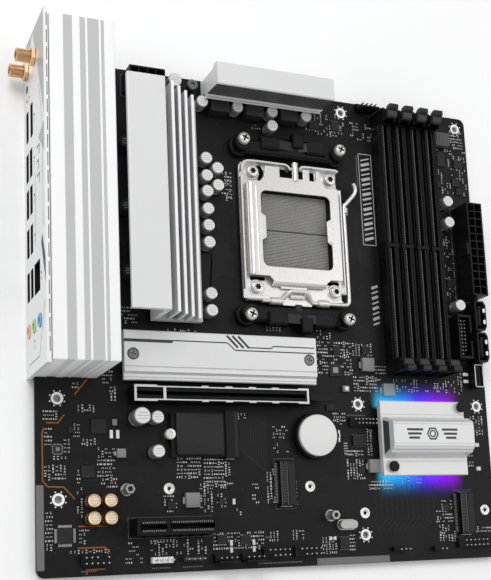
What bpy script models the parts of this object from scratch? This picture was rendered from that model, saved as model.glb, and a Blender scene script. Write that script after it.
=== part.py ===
"""Micro-ATX motherboard, modelled as separate sub-parts.

Everything is laid out in board coordinates, in millimetres: x from the rear (port side) edge,
down from the top edge, up from the board's top face. The world origin is the centre of the
bottom of the whole object, with +X to the front edge, +Y to the top edge and +Z up.
"""
import math

import bmesh
import bpy
from mathutils import Vector

MM = 0.001
GAP = 0.3                      # air kept between neighbouring pieces

# Board and envelope
BOARD = 243.84                 # micro-ATX board side
BOARD_THICKNESS = 1.6
CORNER_RADIUS = 3.8
SHIELD_SPAN = 158.75           # rear I/O aperture, width
SHIELD_HEIGHT = 44.45          # rear I/O aperture, height
SHIELD_DROP = 3.81             # aperture's lower edge below the board's top face
SHIELD_TOP = -3.6              # the shield starts this far above the board's top edge
SHIELD_FACE = -2.9             # outer face of the shield
SHIELD_SHEET = 0.8
ANTENNA_TIP = -11.4
BASE = SHIELD_DROP             # height of the board's top face above the lowest point
ORIGIN_X = (BOARD + ANTENNA_TIP) / 2
ORIGIN_DOWN = (BOARD + SHIELD_TOP) / 2

# Form-factor mounting holes, (x, down)
MOUNT_HOLES = [(33.02, 6.35), (165.1, 6.35), (237.49, 6.35), (10.16, 163.83), (165.1, 163.83),
               (237.49, 163.83), (10.16, 209.55), (165.1, 229.87)]
MOUNT_HOLE_RADIUS = 1.98
MODULE_HOLES = [(62.2, 205.4), (135.3, 205.3), (165.3, 219.0), (237.6, 219.0)]
MODULE_HOLE_RADIUS = 1.3

# Processor socket
SOCKET = (131.6, 76.9)
SOCKET_BODY = 44.4
SOCKET_POCKET = 40.2
SOCKET_FLOOR = 2.0
SOCKET_TOP = 4.6
FRAME_X = (102.8, 159.9)
FRAME_DOWN = (41.8, 111.6)
FRAME_TOP = 3.4
WALL_TOP = 6.4
SOCKET_SCREWS = [(109.7, 46.9), (153.3, 46.9), (109.7, 106.9), (153.3, 106.9)]
SOCKET_SCREW_CLEARANCE = 1.9
LOAD_PLATE_UP = (6.3, 7.2)
LOAD_PLATE_HINGE = (43.7, 6.75)      # (down, up) of the hinge line
LEVER_HINGE = (113.2, 3.6)           # (down, up) of the hinge line
LEVER_RADIUS = 1.05
LEVER_ARM_X = 161.5

# Cooler mount
COOLER = (131.0, 77.0)
COOLER_HALF_X = 27.0
COOLER_HALF_DOWN = 45.0
COOLER_SCREWS = [(COOLER[0] + sx * COOLER_HALF_X, COOLER[1] + sy * COOLER_HALF_DOWN)
                 for sy in (-1, 1) for sx in (-1, 1)]
COOLER_HOLE_RADIUS = 2.6
BRACKET_TOP = 5.5
BOSS_TOP = 8.4

# Memory slots
DIMM_X = 186.6                 # centre of the first slot
DIMM_PITCH = 9.2
DIMM_COUNT = 4
DIMM_WIDTH = 7.4
DIMM_DOWN = (6.5, 148.5)
DIMM_TOP = 9.3
DIMM_TOWER = 14.2
DIMM_KEY = 80.5
LATCH_PIVOT = (2.3, 3.7)       # (inward from the slot's end, up)
LATCH_WIDTH = 4.6
LATCH_HEAD_WIDTH = 6.4
LATCH_PIN_RADIUS = 0.9

# Expansion slots
SLOT_WIDTH = 7.6
SLOT_TOP = 11.25
LONG_SLOT_X = (43.2, 131.8)
LONG_SLOT_DOWN = 162.15        # centre line
SHORT_SLOT_X = (42.9, 81.8)
SHORT_SLOT_DOWN = 223.1
SLOT_KEY_X = (57.0, 58.6)
SLOT_LATCH_PIVOT = (134.2, 3.4)      # (x, up)

# Power connectors
POWER_PITCH = 4.2
POWER_CELL = 3.6
POWER_TOP = 13.2
POWER_WIDTH = 9.6

# Coin cell
CELL = (138.8, 180.5)
CELL_RADIUS = 10.0
CELL_UP = (2.6, 5.8)

# Rear ports, centres along down
USB_STACKS = (58.0, 75.5, 93.9)
NETWORK_DOWN = 114.4
VIDEO_DOWN = 38.2
AUDIO_DOWN = 134.7
AUDIO_UP = (4.4, 16.2, 28.0)
ANTENNAS = [(11.0, 4.6), (11.0, 20.6)]     # (down, up)
BUTTON = (19.4, 4.0)
PORT_FACE = SHIELD_FACE + SHIELD_SHEET + GAP


def place(x, down, up):
    """Board coordinates in millimetres to a world point in metres."""
    return Vector(((x - ORIGIN_X) * MM, (ORIGIN_DOWN - down) * MM, (up + BASE) * MM))


def clear_scene():
    for obj in list(bpy.data.objects):
        bpy.data.objects.remove(obj, do_unlink=True)


def material(name, colour, roughness, metallic):
    mat = bpy.data.materials.get(name)
    if mat:
        return mat
    mat = bpy.data.materials.new(name)
    mat.use_nodes = True
    shader = mat.node_tree.nodes["Principled BSDF"]
    shader.inputs["Base Color"].default_value = (*colour, 1.0)
    shader.inputs["Roughness"].default_value = roughness
    shader.inputs["Metallic"].default_value = metallic
    return mat


def make_materials():
    return {
        "board": material("board", (0.018, 0.018, 0.019), 0.5, 0.0),
        "black": material("black_plastic", (0.012, 0.012, 0.013), 0.45, 0.0),
        "grey": material("grey_plastic", (0.05, 0.05, 0.055), 0.5, 0.0),
        "white": material("white_paint", (0.83, 0.83, 0.84), 0.45, 0.1),
        "silver": material("silver_aluminium", (0.78, 0.78, 0.79), 0.35, 0.6),
        "steel": material("plated_steel", (0.75, 0.74, 0.72), 0.28, 1.0),
        "armour": material("slot_armour", (0.62, 0.62, 0.61), 0.35, 0.8),
        "gold": material("gold_plate", (0.85, 0.55, 0.28), 0.25, 1.0),
        "shell": material("port_shell", (0.6, 0.6, 0.6), 0.3, 1.0),
    }


# ---- mesh builders -------------------------------------------------------------------------

def circle(centre, radius, sides, start=0.0):
    """Points around a circle, as an outline."""
    steps = [start + 2 * math.pi * i / sides for i in range(sides)]
    return [(centre[0] + radius * math.cos(a), centre[1] + radius * math.sin(a)) for a in steps]


def rounded_rect(x, y, radius, per_corner=5):
    """A rectangle with round corners, as an outline."""
    corners = [(x[1] - radius, y[1] - radius), (x[0] + radius, y[1] - radius),
               (x[0] + radius, y[0] + radius), (x[1] - radius, y[0] + radius)]
    points = []
    for quarter, (cx, cy) in enumerate(corners):
        for i in range(per_corner + 1):
            angle = math.pi / 2 * (quarter + i / per_corner)
            points.append((cx + radius * math.cos(angle), cy + radius * math.sin(angle)))
    return points


def rect(x, y):
    return [(x[0], y[0]), (x[1], y[0]), (x[1], y[1]), (x[0], y[1])]


def prism(axis, outline, start, end):
    """Extrude an outline. Along up it is (x, down), along x (down, up), along down (x, up)."""
    to_board = {"up": lambda a, b, c: (a, b, c),
                "x": lambda a, b, c: (c, a, b),
                "down": lambda a, b, c: (a, c, b)}[axis]
    bm = bmesh.new()
    first = [bm.verts.new(place(*to_board(a, b, start))) for a, b in outline]
    last = [bm.verts.new(place(*to_board(a, b, end))) for a, b in outline]
    bm.faces.new(first)
    bm.faces.new(list(reversed(last)))
    count = len(outline)
    for i in range(count):
        j = (i + 1) % count
        bm.faces.new((first[i], last[i], last[j], first[j]))
    bmesh.ops.recalc_face_normals(bm, faces=bm.faces)
    return bm


def box(x, down, up):
    return prism("up", rect(x, down), up[0], up[1])


def turned(centre, profile, sides=20):
    """Turn (radius, up) points about a vertical axis. The profile starts and ends at radius 0."""
    bm = bmesh.new()
    rings = []
    for radius, up in profile:
        if radius == 0:
            rings.append([bm.verts.new(place(centre[0], centre[1], up))])
        else:
            rings.append([bm.verts.new(place(a, b, up)) for a, b in circle(centre, radius, sides)])
    for lower, upper in zip(rings, rings[1:]):
        for i in range(sides):
            j = (i + 1) % sides
            corners = [lower[i % len(lower)], lower[j % len(lower)],
                       upper[j % len(upper)], upper[i % len(upper)]]
            unique = list(dict.fromkeys(corners))
            bm.faces.new(unique)
    bmesh.ops.recalc_face_normals(bm, faces=bm.faces)
    return bm


def merged(pieces):
    """Put several separate shapes into one mesh, for use as a cutter."""
    whole = bmesh.new()
    for piece in pieces:
        copy = bpy.data.meshes.new("copy")
        piece.to_mesh(copy)
        piece.free()
        whole.from_mesh(copy)
        bpy.data.meshes.remove(copy)
    return whole


def add_object(name, bm, mat, pivot=None, smooth=False):
    """Make an object of a mesh, with its origin on the pivot if there is one."""
    mesh = bpy.data.meshes.new(name)
    if pivot is not None:
        bmesh.ops.translate(bm, verts=bm.verts, vec=-pivot)
    bm.to_mesh(mesh)
    bm.free()
    obj = bpy.data.objects.new(name, mesh)
    bpy.context.collection.objects.link(obj)
    if pivot is not None:
        obj.location = pivot
    if mat:
        mesh.materials.append(mat)
    if smooth:
        mesh.shade_smooth()
        mesh.set_sharp_from_angle(angle=math.radians(35))
    return obj


def tool_object(name, bm):
    tool = add_object(name, bm, None)
    tool.hide_render = True
    tool.display_type = "WIRE"
    return tool


def combine(obj, operation, pieces):
    """Cut the pieces from an object, or fuse them to it."""
    tool = tool_object(f"{obj.name}_{operation.lower()}_{len(obj.modifiers)}", merged(pieces))
    mod = obj.modifiers.new(operation.title(), "BOOLEAN")
    mod.operation = operation
    mod.solver = "EXACT"
    mod.object = tool


def cut(obj, *pieces):
    combine(obj, "DIFFERENCE", pieces)


def fuse(obj, *pieces):
    for piece in pieces:
        combine(obj, "UNION", [piece])


# ---- board and socket ----------------------------------------------------------------------

def build_board(mats):
    outline = rounded_rect((0, BOARD), (0, BOARD), CORNER_RADIUS)
    board = add_object("pcb", prism("up", outline, -BOARD_THICKNESS, 0), mats["board"])
    span = (-BOARD_THICKNESS - 1, 1)
    holes = [(c, MOUNT_HOLE_RADIUS, 16) for c in MOUNT_HOLES]
    holes += [(c, MODULE_HOLE_RADIUS, 12) for c in MODULE_HOLES]
    holes += [(c, COOLER_HOLE_RADIUS, 12) for c in COOLER_SCREWS]
    holes += [(c, SOCKET_SCREW_CLEARANCE, 12) for c in SOCKET_SCREWS]
    cut(board, *[prism("up", circle(c, r, n), *span) for c, r, n in holes])


def build_backplate(mats):
    half_x, half_down, chamfer = 32.0, 51.0, 6.0
    cx, cy = COOLER
    outline = [(cx - half_x + chamfer, cy - half_down), (cx + half_x - chamfer, cy - half_down),
               (cx + half_x, cy - half_down + chamfer), (cx + half_x, cy + half_down - chamfer),
               (cx + half_x - chamfer, cy + half_down), (cx - half_x + chamfer, cy + half_down),
               (cx - half_x, cy + half_down - chamfer), (cx - half_x, cy - half_down + chamfer)]
    low = -SHIELD_DROP
    top = -BOARD_THICKNESS - GAP
    plate = add_object("cpu_backplate", prism("up", outline, low, top), mats["steel"])
    post_radius, post_top, bore_radius = 2.2, -0.2, 1.55
    fuse(plate, *[prism("up", circle(c, post_radius, 12), top - 0.8, post_top) for c in COOLER_SCREWS])
    bores = [prism("up", circle(c, bore_radius, 12), low - 1, post_top + 1) for c in COOLER_SCREWS]
    taps = [prism("up", circle(c, SOCKET_SCREW_CLEARANCE, 12), low - 1, top + 1) for c in SOCKET_SCREWS]
    window = box((cx - 10, cx + 10), (cy - 10, cy + 10), (low - 1, top + 1))
    cut(plate, *bores, *taps, window)


def build_socket_housing(mats):
    cx, cy = SOCKET
    half, pocket = SOCKET_BODY / 2, SOCKET_POCKET / 2
    body = box((cx - half, cx + half), (cy - half, cy + half), (GAP, SOCKET_TOP))
    housing = add_object("socket_housing", body, mats["black"])
    recess = box((cx - pocket, cx + pocket), (cy - pocket, cy + pocket), (SOCKET_FLOOR, SOCKET_TOP + 1))
    cut(housing, recess)


def build_socket_frame(mats):
    left, right, top, bottom = *FRAME_X, *FRAME_DOWN
    inset, shoulder, corner = 1.2, 50.2, 108.0
    outline = [(left + inset, top), (right - 2 * inset, top), (right - 2 * inset, shoulder),
               (right, shoulder), (right, corner), (right - 2 * inset, corner),
               (right - 2 * inset, bottom), (left, bottom),
               (left, shoulder), (left + inset, shoulder)]
    frame = add_object("socket_frame", prism("up", outline, GAP, FRAME_TOP), mats["steel"])
    cx, cy = SOCKET
    half = SOCKET_BODY / 2 + 1.0
    opening = box((cx - half, cx + half), (cy - half, cy + half), (-1, FRAME_TOP + 1))
    holes = [prism("up", circle(c, SOCKET_SCREW_CLEARANCE, 12), -1, FRAME_TOP + 1) for c in SOCKET_SCREWS]
    cut(frame, opening, *holes)
    sunk = FRAME_TOP - 0.6
    rail = 0.9
    rails = [box((left, left + rail), (shoulder, corner), (sunk, WALL_TOP)),
             box((right - rail, right), (shoulder, corner), (sunk, WALL_TOP))]
    flange_down = (top, top + rail)
    tab_gap = (129.4, 135.8)
    flange = [box((104.0, tab_gap[0]), flange_down, (sunk, WALL_TOP)),
              box((tab_gap[1], 157.0), flange_down, (sunk, WALL_TOP))]
    trough = [(110.9, 0.5), (115.6, 0.5), (115.6, 4.2), (114.8, 4.2), (114.8, 1.9), (110.9, 1.9)]
    keepers = [prism("x", trough, 114.5, 120.5), prism("x", trough, 144.0, 151.0)]
    hook_line = [(157.9, 0.6), (164.9, 0.6), (164.9, 5.6), (163.7, 5.6), (163.7, 1.8), (157.9, 1.8)]
    hook = prism("down", hook_line, 61.0, 64.2)
    fuse(frame, *rails, *flange, *keepers, hook)


def load_plate_outline():
    left, right = 105.3, 156.9
    top, notch, side_top, side_bottom, bottom = LOAD_PLATE_HINGE[0], 47.7, 52.4, 101.6, 105.0
    return [(115.8, top), (124.5, top), (124.5, notch), (131.0, notch), (131.0, top - 3.0),
            (134.3, top - 3.0), (134.3, notch), (136.5, notch), (136.5, top), (141.5, top),
            (141.5, notch), (144.0, notch), (144.0, top), (146.6, top), (146.6, 50.0), (148.6, side_top),
            (right, side_top), (right, side_bottom), (148.2, side_bottom), (146.4, bottom),
            (137.6, bottom), (136.9, 106.8), (122.5, 106.8), (121.8, bottom), (119.0, bottom),
            (117.2, side_bottom), (left, side_bottom), (left, side_top), (113.8, side_top), (115.8, 50.0)]


def window_outline():
    """The processor window: a round-cornered square with a finger tab on each side."""
    x0, x1, y0, y1 = 112.7, 151.7, 57.1, 96.4
    tab_top, tab_bottom, slant = 69.0, 83.2, 1.6
    reach = 2.4
    outline = rounded_rect((x0, x1), (y0, y1), 3.2, 4)
    quarter = len(outline) // 4
    left_side = [(x0, tab_bottom), (x0 + reach, tab_bottom - slant), (x0 + reach, tab_top + slant),
                 (x0, tab_top)]
    right_side = [(x1, tab_top), (x1 - reach, tab_top + slant), (x1 - reach, tab_bottom - slant),
                  (x1, tab_bottom)]
    return outline[:2 * quarter] + left_side + outline[2 * quarter:] + right_side


def build_load_plate(mats):
    pivot = place(SOCKET[0], *LOAD_PLATE_HINGE)
    sheet = prism("up", load_plate_outline(), *LOAD_PLATE_UP)
    plate = add_object("socket_load_plate", sheet, mats["steel"], pivot)
    cut(plate, prism("up", window_outline(), LOAD_PLATE_UP[0] - 1, LOAD_PLATE_UP[1] + 1))


def lever_route():
    """Centre line of the lever's wire: hinge run, crank, corner, arm and handle."""
    down, up = LEVER_HINGE
    crank_down, crank_up, turn = 108.4, 6.4, 2.6
    route = [(112.5, down, up), (121.6, down, up), (122.6, down - 0.5, up + 0.3)]
    route += [(126.4, crank_down + 0.7, crank_up - 0.4), (127.5, crank_down, crank_up)]
    route += [(135.3, crank_down, crank_up), (136.4, crank_down + 0.7, crank_up - 0.4)]
    route += [(140.2, down - 0.5, up + 0.3), (141.2, down, up)]
    for i in range(5):
        angle = math.pi / 2 * i / 4
        route.append((LEVER_ARM_X - turn + turn * math.sin(angle), down - turn + turn * math.cos(angle), up))
    route += [(LEVER_ARM_X, 61.0, up), (162.4, 59.3, up + 0.3), (167.0, 53.9, up + 1.3)]
    route += [(168.0, 52.2, up + 1.5), (168.1, 50.6, up + 1.6), (167.0, 47.7, up + 1.6)]
    return route


def build_lever(mats):
    pivot = place(SOCKET[0], *LEVER_HINGE)
    curve = bpy.data.curves.new("socket_lever", "CURVE")
    curve.dimensions = "3D"
    curve.bevel_depth = LEVER_RADIUS * MM
    curve.bevel_resolution = 2
    curve.use_fill_caps = True
    route = lever_route()
    spline = curve.splines.new("POLY")
    spline.points.add(len(route) - 1)
    for point, spot in zip(spline.points, route):
        point.co = (*(place(*spot) - pivot), 1.0)
    curve.materials.append(mats["steel"])
    lever = bpy.data.objects.new("socket_lever", curve)
    lever.location = pivot
    bpy.context.collection.objects.link(lever)


def build_socket_screws(mats):
    head_low, head_top, head_radius, shank_radius, recess_radius = 3.7, 6.0, 3.0, 1.5, 1.3
    for index, centre in enumerate(SOCKET_SCREWS, 1):
        profile = [(0, -1.0), (shank_radius, -1.0), (shank_radius, head_low), (head_radius, head_low),
                   (head_radius, head_top - 0.6), (head_radius - 0.7, head_top), (recess_radius, head_top),
                   (recess_radius, head_top - 1.1), (0, head_top - 1.1)]
        add_object(f"socket_screw_{index}", turned(centre, profile, 16), mats["steel"], smooth=True)


def build_brackets(mats):
    """The two plastic cooler brackets, one on each side of the socket, with a clip lug outward."""
    cx, cy = COOLER
    for name, side in (("cooler_bracket_top", -1), ("cooler_bracket_bottom", 1)):
        def span(near, far):
            return tuple(sorted((cy + side * near, cy + side * far)))
        bar = box((cx - COOLER_HALF_X, cx + COOLER_HALF_X), span(40.6, 48.6), (GAP, BRACKET_TOP))
        bracket = add_object(name, bar, mats["black"])
        ends = [(cx + s * COOLER_HALF_X, cy + side * COOLER_HALF_DOWN) for s in (-1, 1)]
        discs = [prism("up", circle(c, 5.6, 20), GAP, 3.4) for c in ends]
        bosses = [prism("up", circle(c, 4.1, 16), 3.0, BOSS_TOP) for c in ends]
        lug = box((cx + 1.5, cx + 7.5), span(46.0, 53.5), (2.4, 7.4))
        blocks = [box((cx - 16.5, cx - 6.0), span(43.4, 50.2), (1.5, 7.4)),
                  box((cx + 9.0, cx + 20.0), span(43.4, 50.2), (1.5, 7.4))]
        fuse(bracket, *discs, *bosses, lug, *blocks)
        cut(bracket, *[prism("up", circle(c, 1.75, 12), -1, BOSS_TOP + 1) for c in ends])


def build_bracket_screws(mats):
    low, head_low, head_top, head_radius, shank_radius = -2.4, BOSS_TOP + GAP, BOSS_TOP + 2.9, 3.1, 1.2
    for index, centre in enumerate(COOLER_SCREWS, 1):
        profile = [(0, low), (shank_radius, low), (shank_radius, head_low), (head_radius, head_low),
                   (head_radius, head_low + 1.4), (head_radius - 0.9, head_top), (0, head_top)]
        screw = add_object(f"bracket_screw_{index}", turned(centre, profile, 16), mats["steel"], smooth=True)
        arm, width, deep = 1.9, 0.45, head_top - 1.1
        cross = [(arm, width), (width, width), (width, arm), (-width, arm), (-width, width), (-arm, width)]
        cross += [(-x, -y) for x, y in cross]
        outline = [(centre[0] + x, centre[1] + y) for x, y in cross]
        cut(screw, prism("up", outline, deep, head_top + 1))


# ---- rear ports ----------------------------------------------------------------------------

def build_io_cover(mats):
    wall = 1.6
    x, down, up = (-0.6, 28.9), (-0.9, 154.2), (0.4, 41.6)
    cover = add_object("io_cover", box(x, down, up), mats["white"])
    hollow = box((x[0] - 1, x[1] - wall), (down[0] + wall, down[1] - wall), (up[0] - 1, up[1] - wall))
    cut(cover, hollow)


def port_openings():
    """The shield's rectangular cut-outs as (down range, up range)."""
    half = 6.7
    holes = [((VIDEO_DOWN - 7.5, VIDEO_DOWN + 7.5), (1.7, 6.9)),
             ((VIDEO_DOWN - 8.1, VIDEO_DOWN + 8.1), (11.2, 16.4))]
    for centre in (*USB_STACKS, NETWORK_DOWN):
        span = (centre - half, centre + half)
        holes += [(span, (1.1, 6.5)), (span, (9.1, 14.5))]
    holes.append(((NETWORK_DOWN - 7.0, NETWORK_DOWN + 7.0), (16.9, 28.7)))
    return holes


def build_shield(mats):
    down = (SHIELD_TOP, SHIELD_TOP + SHIELD_SPAN)
    up = (-SHIELD_DROP, SHIELD_HEIGHT - SHIELD_DROP)
    back = -1.0
    rim = 0.7
    shield = add_object("io_shield", box((SHIELD_FACE, back), down, up), mats["silver"])
    pan = box((SHIELD_FACE + SHIELD_SHEET, back + 1), (down[0] + rim, down[1] - rim),
              (up[0] + rim, up[1] - rim))
    cut(shield, pan)
    depth = (SHIELD_FACE - 1, back)
    holes = [prism("x", rect(d, u), *depth) for d, u in port_openings()]
    holes += [prism("x", circle(c, 3.5, 16), *depth) for c in ANTENNAS]
    holes += [prism("x", circle((AUDIO_DOWN, u), 3.3, 16), *depth) for u in AUDIO_UP]
    holes += [prism("x", circle(BUTTON, 2.0, 12), *depth), prism("x", circle((25.0, 3.6), 0.9, 8), *depth)]
    cut(shield, *holes)


def build_antennas(mats):
    for index, centre in enumerate(ANTENNAS, 1):
        barrel = prism("x", circle(centre, 3.1, 16), ANTENNA_TIP, PORT_FACE + 0.5)
        connector = add_object(f"antenna_connector_{index}", barrel, mats["gold"], smooth=True)
        nut = prism("x", circle(centre, 4.5, 6), SHIELD_FACE - GAP - 1.8, SHIELD_FACE - GAP)
        block = box((PORT_FACE, 5.0), (centre[0] - 3.6, centre[0] + 3.6), (centre[1] - 3.6, centre[1] + 3.6))
        fuse(connector, nut, block)
        cut(connector, prism("x", circle(centre, 2.2, 12), ANTENNA_TIP - 1, ANTENNA_TIP + 7))


def add_port_stack(name, mat, x, down, up, cavities, tongues):
    stack = add_object(name, box(x, down, up), mat)
    cut(stack, *[box((x[0] - 1, depth), d, u) for depth, d, u in cavities])
    fuse(stack, *[box((x[0] + 1.0, depth), d, u) for depth, d, u in tongues])
    return stack


def usb_pair(centre, depth=13.5):
    """Cavities and tongues of two USB ports, one above the other."""
    cavities, tongues = [], []
    for low in (1.3, 9.3):
        cavities.append((depth, (centre - 6.3, centre + 6.3), (low, low + 5.0)))
        tongues.append((depth + 0.5, (centre - 5.4, centre + 5.4), (low + 2.7, low + 4.4)))
    return cavities, tongues


def build_ports(mats):
    for index, centre in enumerate(USB_STACKS, 1):
        cavities, tongues = usb_pair(centre)
        add_port_stack(f"usb_stack_{index}", mats["shell"], (PORT_FACE, 17.2), (centre - 7.2, centre + 7.2),
                       (GAP, 16.0), cavities, tongues)
    cavities, tongues = usb_pair(NETWORK_DOWN)
    cavities.append((12.5, (NETWORK_DOWN - 6.0, NETWORK_DOWN + 6.0), (17.8, 28.2)))
    add_port_stack("network_usb_stack", mats["shell"], (PORT_FACE, 20.0),
                   (NETWORK_DOWN - 8.2, NETWORK_DOWN + 8.2), (GAP, 29.8), cavities, tongues)
    video = [(11.0, (VIDEO_DOWN - 7.1, VIDEO_DOWN + 7.1), (2.1, 6.5)),
             (11.0, (VIDEO_DOWN - 7.7, VIDEO_DOWN + 7.7), (11.6, 16.0))]
    blades = [(11.5, (VIDEO_DOWN - 5.6, VIDEO_DOWN + 5.6), (3.9, 4.9)),
              (11.5, (VIDEO_DOWN - 6.0, VIDEO_DOWN + 6.0), (13.4, 14.4))]
    add_port_stack("video_port_stack", mats["shell"], (PORT_FACE, 14.0),
                   (VIDEO_DOWN - 8.7, VIDEO_DOWN + 8.7), (GAP, 18.0), video, blades)


def build_audio(mats):
    body = box((PORT_FACE, 15.0), (AUDIO_DOWN - 6.2, AUDIO_DOWN + 6.2), (GAP, 34.5))
    jacks = add_object("audio_jack_stack", body, mats["black"])
    centres = [(AUDIO_DOWN, up) for up in AUDIO_UP]
    fuse(jacks, *[prism("x", circle(c, 2.95, 16), SHIELD_FACE - 0.6, PORT_FACE + 0.5) for c in centres])
    cut(jacks, *[prism("x", circle(c, 1.8, 12), SHIELD_FACE - 2, 11.0) for c in centres])


def build_button(mats):
    pivot = place(-2.6, *BUTTON)
    button = prism("x", circle(BUTTON, 1.55, 16), -2.6, 2.4)
    add_object("flashback_button", button, mats["grey"], pivot, smooth=True)


# ---- heatsinks -----------------------------------------------------------------------------

def comb_outline(plate, fins, base):
    """Side profile of the left heatsink: a top plate on a web, then fins that step down."""
    (x0, web0), (low, high) = plate
    (base_low, base_high), base_end = base
    points = [(x0, high), (web0 + 2.6, high), (web0 + 2.6, base_high)]
    for x, top, thick in fins:
        points += [(x, base_high), (x, top), (x + thick, top), (x + thick, base_high)]
    points += [(base_end, base_high), (base_end, base_low), (web0, base_low), (web0, low), (x0, low)]
    return points


def build_left_heatsink(mats):
    fins = [(60.9, 24.6, 1.7), (65.6, 20.8, 1.7), (70.3, 17.0, 1.7), (75.0, 13.4, 1.7)]
    outline = comb_outline(((38.4, 54.4), (25.2, 28.0)), fins, ((3.2, 7.0), 79.4))
    profile = prism("down", outline, 14.6, 126.5)
    add_object("vrm_heatsink_left", profile, mats["white"])


def build_top_heatsink(mats):
    slab, web = (1.5, 13.1), (3.0, 8.2)
    outline = [(slab[0], 26.0), (slab[1], 26.0), (slab[1], 21.2), (web[1], 19.8)]
    for low in (8.6, 5.6):
        outline += [(web[1], low + 1.2), (10.6, low + 1.2), (10.6, low), (web[1], low)]
    outline += [(web[1], 4.4), (10.8, 4.4), (10.8, 3.0), (2.0, 3.0), (2.0, 4.4), (web[0], 4.4),
                (web[0], 19.8), (slab[0], 21.2)]
    add_object("vrm_heatsink_top", prism("x", outline, 84.2, 147.6), mats["white"])


M2_SCREWS = [(43.8, 143.7), (134.1, 143.7)]
M2_TOP = 9.0


def build_m2_cover(mats):
    outline = [(132.4, 5.6), (132.4, M2_TOP), (149.3, M2_TOP), (149.3, 8.3), (150.1, 8.3), (150.1, M2_TOP),
               (152.2, M2_TOP), (152.2, 8.2), (152.9, 7.6), (155.8, 7.6), (155.8, 5.6)]
    cover = add_object("m2_heatsink", prism("x", outline, 39.5, 138.1), mats["white"])
    wells = [prism("up", circle(c, 2.9, 16), M2_TOP - 1.8, M2_TOP + 1) for c in M2_SCREWS]
    shafts = [prism("up", circle(c, 1.6, 12), 4, M2_TOP - 1) for c in M2_SCREWS]
    cut(cover, *wells)
    cut(cover, *shafts)
    head_low, head_top = M2_TOP - 1.5, M2_TOP - 0.1
    for index, centre in enumerate(M2_SCREWS, 1):
        profile = [(0, 0.4), (1.2, 0.4), (1.2, head_low), (2.5, head_low), (2.5, head_top - 0.3),
                   (2.2, head_top), (1.0, head_top), (0.6, head_top - 0.8), (0, head_top - 0.8)]
        add_object(f"m2_screw_{index}", turned(centre, profile, 16), mats["grey"], smooth=True)


def build_chipset_heatsink(mats):
    outline = [(162.5, 2.8), (162.5, 6.0), (171.6, 6.0), (172.2, 8.0), (172.2, 12.6), (173.7, 14.0),
               (187.0, 14.0), (188.0, 12.8), (190.0, 11.0), (190.9, 8.0), (191.6, 6.0), (200.9, 6.0),
               (200.9, 2.8)]
    add_object("chipset_heatsink", prism("x", outline, 174.3, 224.7), mats["white"])


# ---- memory and expansion slots ------------------------------------------------------------

def build_dimm_slot(index, mats):
    cx = DIMM_X + index * DIMM_PITCH
    half = DIMM_WIDTH / 2
    top, bottom = DIMM_DOWN
    fork = 7.2
    block = box((cx - half, cx + half), DIMM_DOWN, (GAP, DIMM_TOWER))
    slot = add_object(f"dimm_slot_{index + 1}", block, mats["black"])
    body = (top + fork, bottom - fork)
    relief = box((cx - half - 1, cx + half + 1), body, (DIMM_TOP, DIMM_TOWER + 1))
    inner = LATCH_WIDTH / 2 + GAP
    forks = [box((cx - inner, cx + inner), (top - 1, top + fork), (-1, DIMM_TOWER + 1)),
             box((cx - inner, cx + inner), (bottom - fork, bottom + 1), (-1, DIMM_TOWER + 1))]
    cut(slot, relief)
    cut(slot, *forks)
    groove = (cx - 0.95, cx + 0.95)
    key = 0.9
    grooves = [box(groove, (body[0] - 0.5, DIMM_KEY - key), (3.6, DIMM_TOP + 1)),
               box(groove, (DIMM_KEY + key, body[1] + 0.5), (3.6, DIMM_TOP + 1))]
    cut(slot, *grooves)
    inward, up = LATCH_PIVOT
    reach = (cx - half - 1, cx + half + 1)
    eyes = [prism("x", circle((end, up), LATCH_PIN_RADIUS + GAP, 8), *reach)
            for end in (top + inward, bottom - inward)]
    cut(slot, *eyes)


def build_dimm_latch(name, cx, end, outward, mats):
    """An ejector latch. outward is -1 at the top end of a slot and +1 at the bottom end."""
    inward, up = LATCH_PIVOT
    pivot_down = end - outward * inward
    line = [(-3.1, 1.7), (1.2, 1.7), (1.5, 9.0), (1.5, 14.6), (2.5, 16.4), (2.5, 19.6), (-0.6, 19.6),
            (-2.0, 17.4), (-3.8, 16.2), (-3.8, 15.2), (-2.2, 14.4), (-2.2, 6.2), (-3.1, 5.0)]
    outline = [(pivot_down + outward * out, high) for out, high in line]
    half = LATCH_WIDTH / 2
    pivot = place(cx, pivot_down, up)
    latch = add_object(name, prism("x", outline, cx - half, cx + half), mats["grey"], pivot)
    reach = DIMM_WIDTH / 2 - 0.2
    fuse(latch, prism("x", circle((pivot_down, up), LATCH_PIN_RADIUS, 8), cx - reach, cx + reach))
    head = [(-0.6, DIMM_TOWER + 0.6), (1.5, DIMM_TOWER + 0.6), (2.5, 16.4), (2.5, 19.6), (-0.6, 19.6)]
    head_half = LATCH_HEAD_WIDTH / 2
    head_outline = [(pivot_down + outward * out, high) for out, high in head]
    fuse(latch, prism("x", head_outline, cx - head_half, cx + head_half))


def build_memory(mats):
    for index in range(DIMM_COUNT):
        build_dimm_slot(index, mats)
        cx = DIMM_X + index * DIMM_PITCH
        build_dimm_latch(f"dimm_latch_top_{index + 1}", cx, DIMM_DOWN[0], -1, mats)
        build_dimm_latch(f"dimm_latch_bottom_{index + 1}", cx, DIMM_DOWN[1], 1, mats)


def add_edge_slot(name, mat, x, centre):
    """A card-edge slot with its key bar."""
    down = (centre - SLOT_WIDTH / 2, centre + SLOT_WIDTH / 2)
    slot = add_object(name, box(x, down, (GAP, SLOT_TOP)), mat)
    groove = (centre - 1.0, centre + 1.0)
    rim = 1.7
    cut(slot, box((x[0] + rim, SLOT_KEY_X[0]), groove, (3.0, SLOT_TOP + 1)),
        box((SLOT_KEY_X[1], x[1] - rim), groove, (3.0, SLOT_TOP + 1)))
    return slot


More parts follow.
